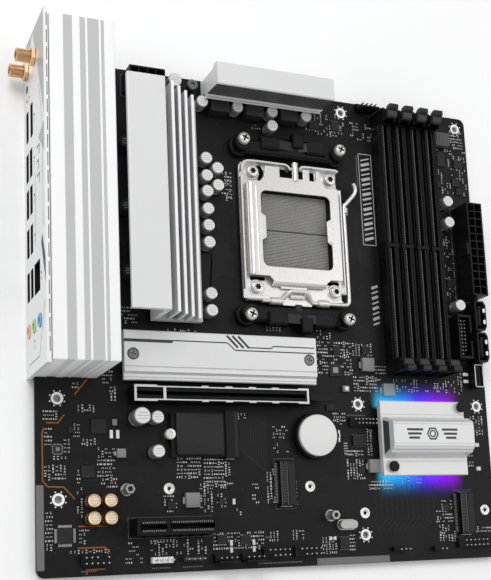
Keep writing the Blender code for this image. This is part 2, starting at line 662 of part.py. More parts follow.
def build_expansion(mats):
    long_slot = add_edge_slot("pcie_long_slot", mats["armour"], LONG_SLOT_X, LONG_SLOT_DOWN)
    add_edge_slot("pcie_short_slot", mats["black"], SHORT_SLOT_X, SHORT_SLOT_DOWN)
    cheek_x = (LONG_SLOT_X[1] - 0.5, 136.4)
    cheeks = [box(cheek_x, (LONG_SLOT_DOWN - 3.3, LONG_SLOT_DOWN - 2.2), (0.4, 6.0)),
              box(cheek_x, (LONG_SLOT_DOWN + 2.2, LONG_SLOT_DOWN + 3.3), (0.4, 6.0))]
    fuse(long_slot, *cheeks)
    half, pin_radius = 1.8, 0.7
    line = [(133.0, 1.6), (135.4, 1.6), (135.8, 6.2), (146.6, 6.6), (146.6, 8.0), (136.2, 8.6),
            (135.6, 11.2), (132.8, 11.2), (132.3, 9.6), (132.6, 4.4)]
    pivot_x, pivot_up = SLOT_LATCH_PIVOT
    pivot = place(pivot_x, LONG_SLOT_DOWN, pivot_up)
    body = prism("down", line, LONG_SLOT_DOWN - half, LONG_SLOT_DOWN + half)
    latch = add_object("pcie_slot_latch", body, mats["black"], pivot)
    reach = 3.1
    fuse(latch, prism("down", circle(SLOT_LATCH_PIVOT, pin_radius, 8),
                      LONG_SLOT_DOWN - reach, LONG_SLOT_DOWN + reach))
    cut(long_slot, prism("down", circle(SLOT_LATCH_PIVOT, pin_radius + 0.25, 8),
                         LONG_SLOT_DOWN - reach - 1, LONG_SLOT_DOWN + reach + 1))


def build_module_sockets(mats):
    """Low sockets that face the rear edge, with a slit for the module's edge."""
    sockets = [("m2_socket_left", (117.5, 125.9), (192.8, 214.8)),
               ("m2_socket_right", (219.9, 228.3), (209.5, 231.5)),
               ("wifi_socket", (90.0, 96.6), (168.7, 191.7))]
    for name, x, down in sockets:
        socket = add_object(name, box(x, down, (GAP, 4.4)), mats["black"])
        cut(socket, box((x[0] - 1, x[0] + 4.2), (down[0] + 0.5, down[1] - 0.5), (2.2, 3.8)))


def build_wifi(mats):
    module = add_object("wifi_module", box((62.9, 93.4), (169.6, 190.8), (2.6, 3.4)), mats["board"])
    can = box((65.0, 88.6), (170.4, 190.0), (3.2, 5.2))
    fuse(module, can)
    cut(module, prism("up", circle((62.9, 180.2), 2.6, 16), 0, 6))


# ---- power and data connectors -------------------------------------------------------------

def add_power_connector(name, x, down, columns, rows, mats):
    """A shrouded power connector with a grid of square cells."""
    body = add_object(name, box(x, down, (GAP, POWER_TOP)), mats["black"])
    cx, cy = sum(x) / 2, sum(down) / 2
    half = POWER_CELL / 2
    cells = []
    for i in range(columns):
        for j in range(rows):
            px = cx + (i - (columns - 1) / 2) * POWER_PITCH
            py = cy + (j - (rows - 1) / 2) * POWER_PITCH
            cells.append(box((px - half, px + half), (py - half, py + half), (3.0, POWER_TOP + 1)))
    cut(body, *cells)
    return body


def build_power(mats):
    length = 12 * POWER_PITCH + 1.2
    start = 54.0
    main = add_power_connector("atx_power_connector", (231.8, 231.8 + POWER_WIDTH), (start, start + length),
                               2, 12, mats)
    ramp = [(232.2, 6.4), (230.7, 7.4), (230.7, 12.2), (232.2, 12.8)]
    fuse(main, prism("down", ramp, 76.5, 83.0))
    width = 4 * POWER_PITCH + 1.2
    add_power_connector("cpu_power_connector", (44.2, 44.2 + width), (3.4, 3.4 + POWER_WIDTH), 4, 2, mats)


def build_sata(mats):
    """Two upright SATA ports with an L-shaped tongue."""
    x = (234.3, 241.3)
    for index, start in enumerate((107.9, 125.1), 1):
        down = (start, start + 16.2)
        port = add_object(f"sata_port_{index}", box(x, down, (GAP, 10.0)), mats["black"])
        cut(port, box((x[0] + 1.2, x[1] - 1.2), (down[0] + 1.4, down[1] - 1.4), (2.6, 11)))
        tongue = box((x[0] + 3.0, x[0] + 4.3), (down[0] + 2.6, down[1] - 2.6), (2.0, 9.0))
        foot = box((x[0] + 3.0, x[0] + 5.2), (down[0] + 2.6, down[0] + 3.8), (2.0, 9.0))
        fuse(port, tongue, foot)
        window_ends = (down[0] + 3.4, down[1] - 6.0)
        windows = [box((x[1] - 2, x[1] + 1), (d, d + 2.6), (4.6, 8.4)) for d in window_ends]
        cut(port, *windows)


def build_headers(mats):
    x, down = (223.9, 232.3), (115.6, 139.4)
    header = add_object("usb3_header", box(x, down, (GAP, 8.6)), mats["black"])
    cut(header, box((x[0] + 1.0, x[1] - 1.0), (down[0] + 1.4, down[1] - 1.4), (2.0, 10.0)))
    cut(header, box((x[1] - 2, x[1] + 1), (125.3, 129.7), (3.0, 10.0)))
    x, down = (233.8, 239.2), (142.0, 154.2)
    header = add_object("usbc_header", box(x, down, (GAP, 6.2)), mats["steel"])
    cut(header, box((x[0] + 0.9, x[1] - 0.9), (down[0] + 0.9, down[1] - 0.9), (1.6, 7.2)))
    fuse(header, box((x[0] + 2.2, x[0] + 3.1), (down[0] + 2.0, down[1] - 2.0), (1.2, 5.2)))


def build_coin_cell(mats):
    holder_radius, seat_radius = 11.6, CELL_RADIUS + 0.35
    floor = CELL_UP[0] - GAP
    profile = [(0, GAP), (holder_radius, GAP), (holder_radius, 4.6), (seat_radius, 4.6),
               (seat_radius, floor), (0, floor)]
    add_object("battery_holder", turned(CELL, profile, 32), mats["black"], smooth=True)
    low, top = CELL_UP
    bevel = 0.6
    profile = [(0, low), (CELL_RADIUS - bevel, low), (CELL_RADIUS - bevel, low + 0.5), (CELL_RADIUS, low + 0.8),
               (CELL_RADIUS, top - 0.4), (CELL_RADIUS - 0.4, top), (0, top)]
    pivot = place(CELL[0], CELL[1], low)
    add_object("coin_cell", turned(CELL, profile, 32), mats["steel"], pivot, smooth=True)


def build():
    clear_scene()
    mats = make_materials()
    steps = [build_board, build_backplate, build_socket_housing, build_socket_frame, build_load_plate,
             build_lever, build_socket_screws, build_brackets, build_bracket_screws, build_io_cover,
             build_shield, build_antennas, build_ports, build_audio, build_button, build_left_heatsink,
             build_top_heatsink, build_m2_cover, build_chipset_heatsink, build_memory, build_expansion,
             build_module_sockets, build_wifi, build_power, build_sata, build_headers, build_coin_cell]
    for step in steps:
        step(mats)


build()
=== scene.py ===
"""Looks of the micro-ATX motherboard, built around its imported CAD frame.

Places are in board millimetres: x from the rear edge, down from the top edge, up from the
board's top face. place() turns them into the frame's metres. A Shape collects solids in those
millimetres, show() puts it in the scene as one named piece, and dress() keeps a CAD node's shape.
"""

import math
import random

import bmesh
import bpy
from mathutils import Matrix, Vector


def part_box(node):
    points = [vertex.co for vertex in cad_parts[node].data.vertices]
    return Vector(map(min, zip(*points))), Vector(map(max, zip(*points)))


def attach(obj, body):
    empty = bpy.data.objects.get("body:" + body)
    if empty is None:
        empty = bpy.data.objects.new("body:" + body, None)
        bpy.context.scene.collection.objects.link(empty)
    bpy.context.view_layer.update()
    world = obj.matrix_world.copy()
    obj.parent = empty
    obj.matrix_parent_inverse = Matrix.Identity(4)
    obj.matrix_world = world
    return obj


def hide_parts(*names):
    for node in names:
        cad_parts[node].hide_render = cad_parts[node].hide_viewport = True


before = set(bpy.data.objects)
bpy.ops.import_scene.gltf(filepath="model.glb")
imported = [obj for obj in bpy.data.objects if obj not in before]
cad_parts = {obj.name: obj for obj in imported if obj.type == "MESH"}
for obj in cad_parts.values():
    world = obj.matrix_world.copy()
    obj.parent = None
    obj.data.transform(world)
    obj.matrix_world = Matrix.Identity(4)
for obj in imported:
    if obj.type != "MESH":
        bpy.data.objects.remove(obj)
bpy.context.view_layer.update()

MM = 0.001
EYE, AIM = (-93.4, 237.5, 457.6), (103, 157.2, 0)
LEAN = (-0.0235, 0.986, 0.163)     # the camera's up direction
LENS, LENS_SHIFT = 64.15, 0.17
BOARD_LOW, BOARD_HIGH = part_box("pcb")
SUNK, RELIEF = -0.02, 0.012     # how far flat marks reach into the board, and traces stand up
GLOW_LENGTH = 0.048             # metres from cyan to purple
GLOW_ENDS = (0, (0.02, 0.42, 0.72, 1)), (1, (0.16, 0, 0.36, 1))
GLOW_BETWEEN = ((0.28, (0, 0.26, 0.86, 1)), (0.52, (0.06, 0.03, 0.95, 1)),
    (0.78, (0.21, 0, 0.78, 1)))
draw = random.Random(7)


def place(x, down, up):
    return Vector((BOARD_LOW.x + x * MM, BOARD_HIGH.y - down * MM, BOARD_HIGH.z + up * MM))


def spans(node):
    """A CAD node's extent as (x range, down range, up range) in board millimetres."""
    low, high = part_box(node)
    x = ((low.x - BOARD_LOW.x) / MM, (high.x - BOARD_LOW.x) / MM)
    down = ((BOARD_HIGH.y - high.y) / MM, (BOARD_HIGH.y - low.y) / MM)
    up = ((low.z - BOARD_HIGH.z) / MM, (high.z - BOARD_HIGH.z) / MM)
    return x, down, up


def around(centre, reach):
    return centre - reach, centre + reach


def wider(span, by):
    return span[0] - by, span[1] + by


def flanks(centre, near, far):
    """The two ranges that lie from near to far on either side of a centre."""
    return (centre - far, centre - near), (centre + near, centre + far)


def middle(span):
    return (span[0] + span[1]) / 2


# ---- materials -----------------------------------------------------------------------------

def wire(tree, kind, settings=None, **inputs):
    """Add a shader node. An input is either a value or another node's socket."""
    node = tree.nodes.new("ShaderNode" + kind)
    for key, value in (settings or {}).items():
        setattr(node, key, value)
    for key, value in inputs.items():
        socket = node.inputs[int(key[1:]) if key[1:].isdigit() else key.replace("_", " ")]
        if isinstance(value, bpy.types.NodeSocket):
            tree.links.new(value, socket)
        else:
            socket.default_value = value
    return node


def maths(tree, operation, a, b=0):
    return wire(tree, "Math", {"operation": operation}, i0=a, i1=b).outputs[0]


def ranged(tree, value, low, high, to_low, to_high):
    return wire(tree, "MapRange", {"interpolation_type": "SMOOTHSTEP"}, Value=value, From_Min=low,
        From_Max=high, To_Min=to_low, To_Max=to_high).outputs[0]


def blended(tree, factor, first, second):
    node = wire(tree, "Mix", {"data_type": "RGBA"}, Factor=factor)
    for socket, value in ((node.inputs[6], first), (node.inputs[7], second)):
        if isinstance(value, bpy.types.NodeSocket):
            tree.links.new(value, socket)
        else:
            socket.default_value = value
    return node.outputs[2]


def tinted(colour, share):
    return [min(1, c * share) for c in colour] + [1]


def blank(name, roughness, metallic, coat, shine):
    mat = bpy.data.materials.new(name)
    mat.use_nodes = True
    tree = mat.node_tree
    shader = tree.nodes["Principled BSDF"]
    shader.inputs["Roughness"].default_value = roughness
    shader.inputs["Metallic"].default_value = metallic
    shader.inputs["Coat Weight"].default_value = coat
    shader.inputs["Coat Roughness"].default_value = 0.25
    shader.inputs["Specular IOR Level"].default_value = shine
    return mat, tree, shader


def finish(name, colour, roughness, metallic=0, mottle=0.1, grain=0.5, bump=0.1, swing=0.06,
        streak=(1, 1, 1), coat=0, shine=0.5):
    """A surface with fine grain: grain is the size of its marks in millimetres."""
    mat, tree, shader = blank(name, roughness, metallic, coat, shine)
    coords = wire(tree, "TexCoord").outputs["Object"]
    scale = [s / (grain * MM) for s in streak]
    fine = wire(tree, "Mapping", Vector=coords, Scale=scale).outputs[0]
    marks = wire(tree, "TexNoise", Vector=fine, Scale=1, Detail=4, Roughness=0.6).outputs[0]
    broad = wire(tree, "TexNoise", Vector=coords, Scale=45, Detail=3, Roughness=0.5).outputs[0]
    mixed = maths(tree, "ADD", maths(tree, "MULTIPLY", marks, 0.65),
        maths(tree, "MULTIPLY", broad, 0.35))
    colour_out = blended(tree, mixed, tinted(colour, 1 - mottle), tinted(colour, 1 + mottle))
    tree.links.new(colour_out, shader.inputs["Base Color"])
    rough_out = ranged(tree, mixed, 0.25, 0.75, max(0.02, roughness - swing), roughness + swing)
    tree.links.new(rough_out, shader.inputs["Roughness"])
    relief = wire(tree, "Bump", Height=marks, Strength=bump, Distance=0.03 * MM).outputs[0]
    tree.links.new(relief, shader.inputs["Normal"])
    return mat


def add_glow(mat, strength):
    """Light spilling out above and below the chipset heatsink, cyan to purple along it."""
    tree = mat.node_tree
    shader = tree.nodes["Principled BSDF"]
    low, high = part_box("chipset_heatsink")
    axes = wire(tree, "SeparateXYZ", Vector=wire(tree, "TexCoord").outputs["Object"]).outputs
    along = maths(tree, "SUBTRACT", axes[0], (low.x + high.x) / 2)
    across = maths(tree, "SUBTRACT", axes[1], (low.y + high.y) / 2)
    past_end = maths(tree, "SUBTRACT", maths(tree, "ABSOLUTE", along), (high.x - low.x) / 2)
    past_edge = maths(tree, "SUBTRACT", maths(tree, "ABSOLUTE", across), (high.y - low.y) / 2)
    ends = ranged(tree, past_end, -5 * MM, 2.5 * MM, 1, 0)
    edges = ranged(tree, past_edge, -4 * MM, 14 * MM, 1, 0)
    outside = ranged(tree, past_edge, -4 * MM, -1 * MM, 0, 1)
    upper = ranged(tree, axes[2], BOARD_HIGH.z - 0.3 * MM, BOARD_HIGH.z - 0.05 * MM, 0, 1)
    outside = maths(tree, "MULTIPLY", outside, upper)
    fall = maths(tree, "MULTIPLY", maths(tree, "MULTIPLY", edges, edges), outside)
    share = maths(tree, "ADD", maths(tree, "DIVIDE", along, GLOW_LENGTH), 0.5)
    ramp = wire(tree, "ValToRGB", Fac=share)
    stops = ramp.color_ramp.elements
    for stop, (position, colour) in zip(stops, GLOW_ENDS):
        stop.position, stop.color = position, colour
    for position, colour in GLOW_BETWEEN:
        stops.new(position).color = colour
    tree.links.new(ramp.outputs[0], shader.inputs["Emission Color"])
    lit = maths(tree, "MULTIPLY", maths(tree, "MULTIPLY", ends, fall), strength)
    tree.links.new(lit, shader.inputs["Emission Strength"])
    return mat


def board_finish():
    """Matt black solder mask over copper pours, with faint vias and weave."""
    mat, tree, shader = blank("solder_mask", 0.42, 0, 0, 0.17)
    coords = wire(tree, "TexCoord").outputs["Object"]
    pours = wire(tree, "TexVoronoi", {"distance": "MANHATTAN"}, Vector=coords, Scale=95)
    pour = wire(tree, "SeparateColor", Color=pours.outputs["Color"]).outputs[0]
    cells = wire(tree, "TexVoronoi", Vector=coords, Scale=420).outputs["Distance"]
    hole = ranged(tree, cells, 0.1, 0.16, 1, 0)
    zones = wire(tree, "TexNoise", Vector=coords, Scale=60, Detail=2).outputs[0]
    vias = maths(tree, "MULTIPLY", hole, ranged(tree, zones, 0.5, 0.6, 0, 1))
    base = blended(tree, pour, (0.006, 0.006, 0.0063, 1), (0.0085, 0.0085, 0.0088, 1))
    tree.links.new(blended(tree, vias, base, (0.035, 0.035, 0.035, 1)),
        shader.inputs["Base Color"])
    weave = wire(tree, "TexNoise", Vector=coords, Scale=2400, Detail=3).outputs[0]
    tree.links.new(ranged(tree, weave, 0.3, 0.7, 0.36, 0.48), shader.inputs["Roughness"])
    height = maths(tree, "ADD", maths(tree, "MULTIPLY", pour, 0.5),
        maths(tree, "MULTIPLY", weave, 0.15))
    relief = wire(tree, "Bump", Height=height, Strength=0.25, Distance=0.03 * MM).outputs[0]
    tree.links.new(relief, shader.inputs["Normal"])
    return add_glow(mat, 1.9)


def plating(name, colour, roughness, streak):
    return finish(name, colour, roughness, 1, 0.05, 0.12, 0.12, 0.06, streak)


BRUSH_X, BRUSH_Y = (0.03, 1, 1), (1, 0.03, 1)
MASK = board_finish()
BLACK = finish("black_plastic", (0.005, 0.005, 0.0052), 0.42, grain=0.25, bump=0.2, shine=0.2)
SLOT_BLACK = finish("slot_plastic", (0.0042, 0.0042, 0.0044), 0.42, grain=0.3, bump=0.2,
    shine=0.16)
GREY = finish("grey_plastic_and_painted_highlight", (0.011, 0.011, 0.0125), 0.4, grain=0.3, bump=0.15, shine=0.35)
LATCH = finish("latch_step", (0.032, 0.032, 0.034), 0.4, grain=0.3, bump=0.15, shine=0.35)
DEEP = finish("dark_grey_and_painted_shade", (0.1, 0.1, 0.1), 0.5, grain=0.3, bump=0.15, shine=0.3)
CHIP_AND_SHADE = add_glow(finish("chip_epoxy_and_painted_shade", (0.012, 0.012, 0.0125), 0.5, grain=0.15, bump=0.25,
    shine=0.3), 0.25)
WHITE = finish("white_paint", (0.92, 0.92, 0.925), 0.45, 0, 0.015, 0.3, 0.3, 0.05)
SATIN = finish("satin_paint", (0.72, 0.72, 0.722), 0.45, 0.05, 0.05, 0.35, 0.4, 0.05)
STRIPE = finish("silver_paint", (0.53, 0.53, 0.535), 0.4, 0.1, 0.05, 0.15, 0.2)
STRIPE_END_LIT = finish("end_stripe_painted_light", (0.88, 0.88, 0.885), 0.4, 0.1, 0.03, 0.15, 0.2)
WEDGE = finish("wedge_paint", (0.44, 0.44, 0.445), 0.4, 0.1, 0.05, 0.15, 0.2)
FIN_SIDE_SHADE = finish("fin_side_painted_shade", (0.5, 0.5, 0.502), 0.45, 0.1, 0.05, 0.3, 0.3, streak=(1, 0.05, 1))
STAMP = finish("stamped_grey", (0.4, 0.4, 0.4), 0.45, 0.1, 0.05, 0.2, 0.1)
DULL = finish("dull_nickel", (0.36, 0.36, 0.355), 0.3, 0.7, 0.08, 0.12, 0.12)
ANODISED = finish("anodised", (0.7, 0.7, 0.705), 0.38, 0.25, 0.06, 0.25, 0.2, 0.05, BRUSH_X)
PRINT_AND_SHADE = finish("dark_print_and_painted_shade", (0.055, 0.055, 0.057), 0.5, 0.1, grain=0.2, shine=0.3)
STEEL_X = finish("brushed_steel_x", (0.72, 0.715, 0.7), 0.28, 0.65, 0.04, 0.12, 0.05, 0.06,
    BRUSH_X)
STEEL_Y = finish("brushed_steel_y", (0.72, 0.715, 0.7), 0.28, 0.6, 0.03, 0.12, 0.04, 0.06, BRUSH_Y)
SCREW = finish("screw_nickel", (0.74, 0.735, 0.72), 0.24, 0.6, 0.05, 0.12, 0.12)
DARK_STEEL = plating("dark_screw", (0.2, 0.2, 0.205), 0.34, (1, 1, 1))
ARMOUR = finish("slot_armour", (0.62, 0.62, 0.615), 0.36, 0.3, 0.04, 0.15, 0.12, 0.05, BRUSH_X)
SHELL = plating("port_shell", (0.5, 0.5, 0.49), 0.3, BRUSH_X)
SHIELD = finish("shield_aluminium", (0.84, 0.84, 0.845), 0.4, 0.1, 0.03, 0.2, 0.12, 0.05, BRUSH_Y)
GOLD = plating("gold_plate", (0.8, 0.53, 0.31), 0.26, (1, 1, 1))
GOLD_DARK = plating("contact_bronze", (0.25, 0.16, 0.08), 0.4, (1, 1, 1))
CAN = finish("capacitor_can", (0.5, 0.5, 0.495), 0.3, 0.65, 0.05, 0.12, 0.12, 0.06, (1, 1, 0.1))
CAN_TOP = finish("capacitor_top", (0.74, 0.74, 0.735), 0.45, 0.1, 0.05, 0.2, 0.15)
GOLD_TOP = finish("capacitor_cream", (0.8, 0.72, 0.6), 0.4, 0.1, 0.05, 0.2, 0.15)
FERRITE = add_glow(finish("inductor_grey", (0.22, 0.22, 0.22), 0.55, 0.2, 0.1, 0.12, 0.35), 0.5)
CHOKE = finish("choke_black", (0.022, 0.022, 0.023), 0.5, 0, 0.12, 0.2, 0.3, shine=0.3)
SOLDER = add_glow(finish("tinned_end", (0.6, 0.6, 0.595), 0.36, 0.6, 0.08, 0.1, 0.2), 0.3)
CERAMIC = add_glow(finish("ceramic_tan", (0.06, 0.054, 0.048), 0.5, 0, 0.15, 0.15, 0.15,
    shine=0.3), 0.3)
RESISTOR = finish("resistor_black", (0.012, 0.012, 0.013), 0.4, 0, 0.1, 0.15, 0.15, shine=0.3)
SILK = add_glow(finish("silkscreen", (0.16, 0.16, 0.16), 0.6, 0, 0.15, 0.1, 0.1, shine=0.2), 0.2)
PRINT = finish("label_print", (0.5, 0.5, 0.5), 0.6, 0, 0.1, 0.1, 0.1, shine=0.2)
PALE = finish("bare_strip", (0.15, 0.15, 0.152), 0.5, 0.2, 0.05, 0.3, 0.1)
TRACE = finish("trace_relief", (0.0105, 0.0105, 0.011), 0.36, 0, 0.1, 0.3, 0.1, shine=0.25)
COPPER = finish("amber_trace", (0.26, 0.085, 0.012), 0.4, 0.1, 0.1, 0.3, 0.1, shine=0.3)
PIN = finish("pin_shaft", (0.1, 0.1, 0.098), 0.35, 0.6, 0.08, 0.1, 0.1)
WHITE_PLASTIC = finish("white_plastic", (0.8, 0.8, 0.79), 0.45, 0, 0.04, 0.3, 0.1)
CONTACT = finish("contact_field", (0.62, 0.615, 0.6), 0.33, 0.4, 0.1, 0.12, 0.2)
LEADS = finish("lead_frame", (0.22, 0.22, 0.22), 0.35, 0.6, 0.08, 0.1, 0.1)
BLUE, GREEN, PINK = (finish(f"jack_{name}", colour, 0.35, 0, 0.05, 0.2, 0.1)
    for name, colour in (("blue", (0.16, 0.4, 0.7)), ("green", (0.42, 0.62, 0.28)),
    ("pink", (0.85, 0.46, 0.32))))


# ---- mesh tools ----------------------------------------------------------------------------

TO_BOARD = {"up": lambda a, b, c: (a, b, c), "x": lambda a, b, c: (c, a, b),
    "down": lambda a, b, c: (a, c, b)}


def circle(centre, radius, sides=24, start=0):
    steps = [start + 2 * math.pi * i / sides for i in range(sides)]
    return [(centre[0] + radius * math.cos(a), centre[1] + radius * math.sin(a)) for a in steps]


def arc(centre, radius, first, last, steps):
    """Points along an arc, angles in degrees."""
    angles = [math.radians(first + (last - first) * i / steps) for i in range(steps + 1)]
    return [(centre[0] + radius * math.cos(a), centre[1] + radius * math.sin(a)) for a in angles]


def rect(x, y):
    return [(x[0], y[0]), (x[1], y[0]), (x[1], y[1]), (x[0], y[1])]


def rounded(x, y, radius, steps=4):
    corners = [(x[1] - radius, y[1] - radius, 0), (x[0] + radius, y[1] - radius, 90),
        (x[0] + radius, y[0] + radius, 180), (x[1] - radius, y[0] + radius, 270)]
    return [p for cx, cy, a in corners for p in arc((cx, cy), radius, a, a + 90, steps)]


def bent(centre, outer, inner, first, last, steps):
    """A strip bent round a centre, seen from its side."""
    return arc(centre, outer, first, last, steps) + arc(centre, inner, last, first, steps)


def disc(radius, low, high):
    """The profile of a turned disc."""
    return [(0, low), (radius, low), (radius, high), (0, high)]


def stroke(start, end, width):
    """A straight line of some width, as an outline."""
    (ax, ay), (bx, by) = start, end
    length = math.hypot(bx - ax, by - ay)
    nx, ny = (ay - by) / length * width / 2, (bx - ax) / length * width / 2
    return [(ax + nx, ay + ny), (bx + nx, by + ny), (bx - nx, by - ny), (ax - nx, ay - ny)]


def smooth_path(points, steps=5):
    """A Catmull-Rom curve through the points."""
    spots = [Vector(p) for p in points]
    ends = [spots[0] * 2 - spots[1]] + spots + [spots[-1] * 2 - spots[-2]]
    path = []
    for a, b, c, d in zip(ends, ends[1:], ends[2:], ends[3:]):
        for i in range(steps):
            t = i / steps
            path.append(0.5 * (2 * b + (c - a) * t + (2 * a - 5 * b + 4 * c - d) * t * t
                + (3 * b - a - 3 * c + d) * t ** 3))
    return path + [spots[-1]]


class Shape:
    """Solids in board millimetres, collected into one mesh that can have several materials."""

    def __init__(self, mat=None):
        self.bm = bmesh.new()
        self.mat = mat
        self.mats = []

    def index(self, mat):
        mat = mat or self.mat
        if mat not in self.mats:
            self.mats.append(mat)
        return self.mats.index(mat)

    def skin(self, rings, mat=None, capped=True):
        """Join rings of board points into a closed solid."""
        slot = self.index(mat)
        made = [[self.bm.verts.new(place(*p)) for p in ring] for ring in rings]
        faces = [made[0], made[-1][::-1]] if capped else []
        for lower, upper in zip(made, made[1:]):
            for i in range(max(len(lower), len(upper))):
                j = i + 1
                corners = [lower[i % len(lower)], lower[j % len(lower)], upper[j % len(upper)],
                    upper[i % len(upper)]]
                faces.append(list(dict.fromkeys(corners)))
        for corners in faces:
            if len(corners) > 2:
                self.bm.faces.new(corners).material_index = slot

    def prism(self, axis, outline, start, end, mat=None):
        turn = TO_BOARD[axis]
        self.skin([[turn(a, b, c) for a, b in outline] for c in (start, end)], mat)

    def box(self, x, down, up, mat=None):
        self.prism("up", rect(x, down), up[0], up[1], mat)

    def turned(self, centre, profile, sides=24, axis="up", mat=None):
        """Turn (radius, height) points about an axis through the centre."""
        turn = TO_BOARD[axis]
        rings = [[turn(*centre, h)] if r == 0 else
            [turn(a, b, h) for a, b in circle(centre, r, sides)] for r, h in profile]
        self.skin(rings, mat, False)

    def tube(self, path, radius, sides=12, mat=None):
        spots = [Vector(p) for p in path]
        rings = []
        side = None
        for i, spot in enumerate(spots):
            ahead = (spots[min(i + 1, len(spots) - 1)] - spots[max(i - 1, 0)]).normalized()
            guess = side or (Vector((0, 0, 1)) if abs(ahead.z) < 0.9 else Vector((1, 0, 0)))
            side = (guess - ahead * guess.dot(ahead)).normalized()
            other = ahead.cross(side)
            rings.append([spot + (side * a + other * b) * radius
                for a, b in circle((0, 0), 1, sides)])
        self.skin(rings, mat)

    def rounded_box(self, x, down, up, radius, segments=3, mat=None):
        """A box with all its edges rounded."""
        slot = self.index(mat)
        piece = Shape()
        piece.box(x, down, up, mat)
        bmesh.ops.bevel(piece.bm, geom=piece.bm.edges, offset=radius * MM, segments=segments,
            affect="EDGES", profile=0.5)
        self.take(piece, slot)

    def take(self, piece, slot):
        mesh = bpy.data.meshes.new("part")
        for face in piece.bm.faces:
            face.material_index = slot
        piece.bm.to_mesh(mesh)
        piece.bm.free()
        self.bm.from_mesh(mesh)
        bpy.data.meshes.remove(mesh)

    def to_mesh(self, name):
        bmesh.ops.recalc_face_normals(self.bm, faces=self.bm.faces)
        mesh = bpy.data.meshes.new(name)
        self.bm.to_mesh(mesh)
        self.bm.free()
        for mat in self.mats:
            mesh.materials.append(mat)
        return mesh


def link(name, mesh):
    obj = bpy.data.objects.new(name, mesh)
    bpy.context.scene.collection.objects.link(obj)
    return obj


def carve(shape, *cutters):
    """Cut the solids of some shapes from a shape. Returns a mesh."""
    body = link("carved", shape.to_mesh("carved"))
    tools = [link("cutter", cutter.to_mesh("cutter")) for cutter in cutters]
    for tool in tools:
        mod = body.modifiers.new("cut", "BOOLEAN")
        mod.solver = "EXACT"
        mod.object = tool
    depsgraph = bpy.context.evaluated_depsgraph_get()
    mesh = bpy.data.meshes.new_from_object(body.evaluated_get(depsgraph))
    for obj in [body] + tools:
        bpy.data.objects.remove(obj)
    return mesh


def prism_cutter(axis, outline, start, end):
    cutter = Shape()
    cutter.prism(axis, outline, start, end)
    return cutter


def paint(mesh, mat, test):
    """Give a material to the faces whose centre, in board millimetres, passes a test."""
    slot = mesh.materials.find(mat.name)
    if slot < 0:
        mesh.materials.append(mat)
        slot = len(mesh.materials) - 1
    for face in mesh.polygons:
        c = face.center
        spot = ((c.x - BOARD_LOW.x) / MM, (BOARD_HIGH.y - c.y) / MM, (c.z - BOARD_HIGH.z) / MM)
        if test(*spot):
            face.material_index = slot


def paint_within(mesh, mat, x, down, up):
    paint(mesh, mat, lambda px, pd, pu: x[0] < px < x[1] and down[0] < pd < down[1]
        and up[0] < pu < up[1])


def soften(obj, bevel, segments=2):
    mod = obj.modifiers.new("Bevel", "BEVEL")
    mod.width = bevel * MM
    mod.segments = segments
    mod.limit_method = "ANGLE"
    mod.angle_limit = math.radians(30)
    mod.harden_normals = True


def show(name, mesh, replaces=(), body="board", bevel=0):
    """Put a finished mesh, or a Shape, in the scene as one piece."""
    if isinstance(mesh, Shape):
        mesh = mesh.to_mesh(name)
    mesh.name = name
    mesh.shade_smooth()
    mesh.set_sharp_from_angle(angle=math.radians(32))
    obj = link(name, mesh)
    if bevel:
        soften(obj, bevel)
    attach(obj, body)
    if replaces:
        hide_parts(*replaces)
    return obj


def dress(node, mat, bevel=0.25):
    """Keep a CAD node's shape: give it a material and softened edges."""
    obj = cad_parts[node]
    obj.data.materials.clear()
    obj.data.materials.append(mat)
    weld = obj.modifiers.new("Weld", "WELD")
    weld.merge_threshold = 0.004 * MM
    flat = obj.modifiers.new("Flat", "DECIMATE")
    flat.decimate_type = "DISSOLVE"
    flat.angle_limit = math.radians(1)
    if bevel:
        soften(obj, bevel)


# ---- board surface -------------------------------------------------------------------------

def ribbon(points, width):
    """A line of some width as one outline, its corners mitred."""
    sides = ([], [])
    for i, (px, py) in enumerate(points):
        (ax, ay), (bx, by) = points[max(i - 1, 0)], points[min(i + 1, len(points) - 1)]
        turns = [Vector((px - ax, py - ay)), Vector((bx - px, by - py))]
        turns = [t.normalized() for t in turns if t.length > 0]
        ahead = (turns[0] + turns[-1]).normalized()
        reach = width / 2 / max(0.5, ahead.dot(turns[0]))
        for side, hand in zip(sides, (1, -1)):
            side.append((px - ahead.y * reach * hand, py + ahead.x * reach * hand))
    return sides[0] + sides[1][::-1]


def flat_line(shape, points, width, mat, height=0.02):
    for start, end in zip(points, points[1:]):
        shape.prism("up", stroke(start, end, width), SUNK, height, mat)


def frame_line(shape, x, down, width, mat):
    corners = rect(x, down)
    flat_line(shape, corners + corners[:1], width, mat)


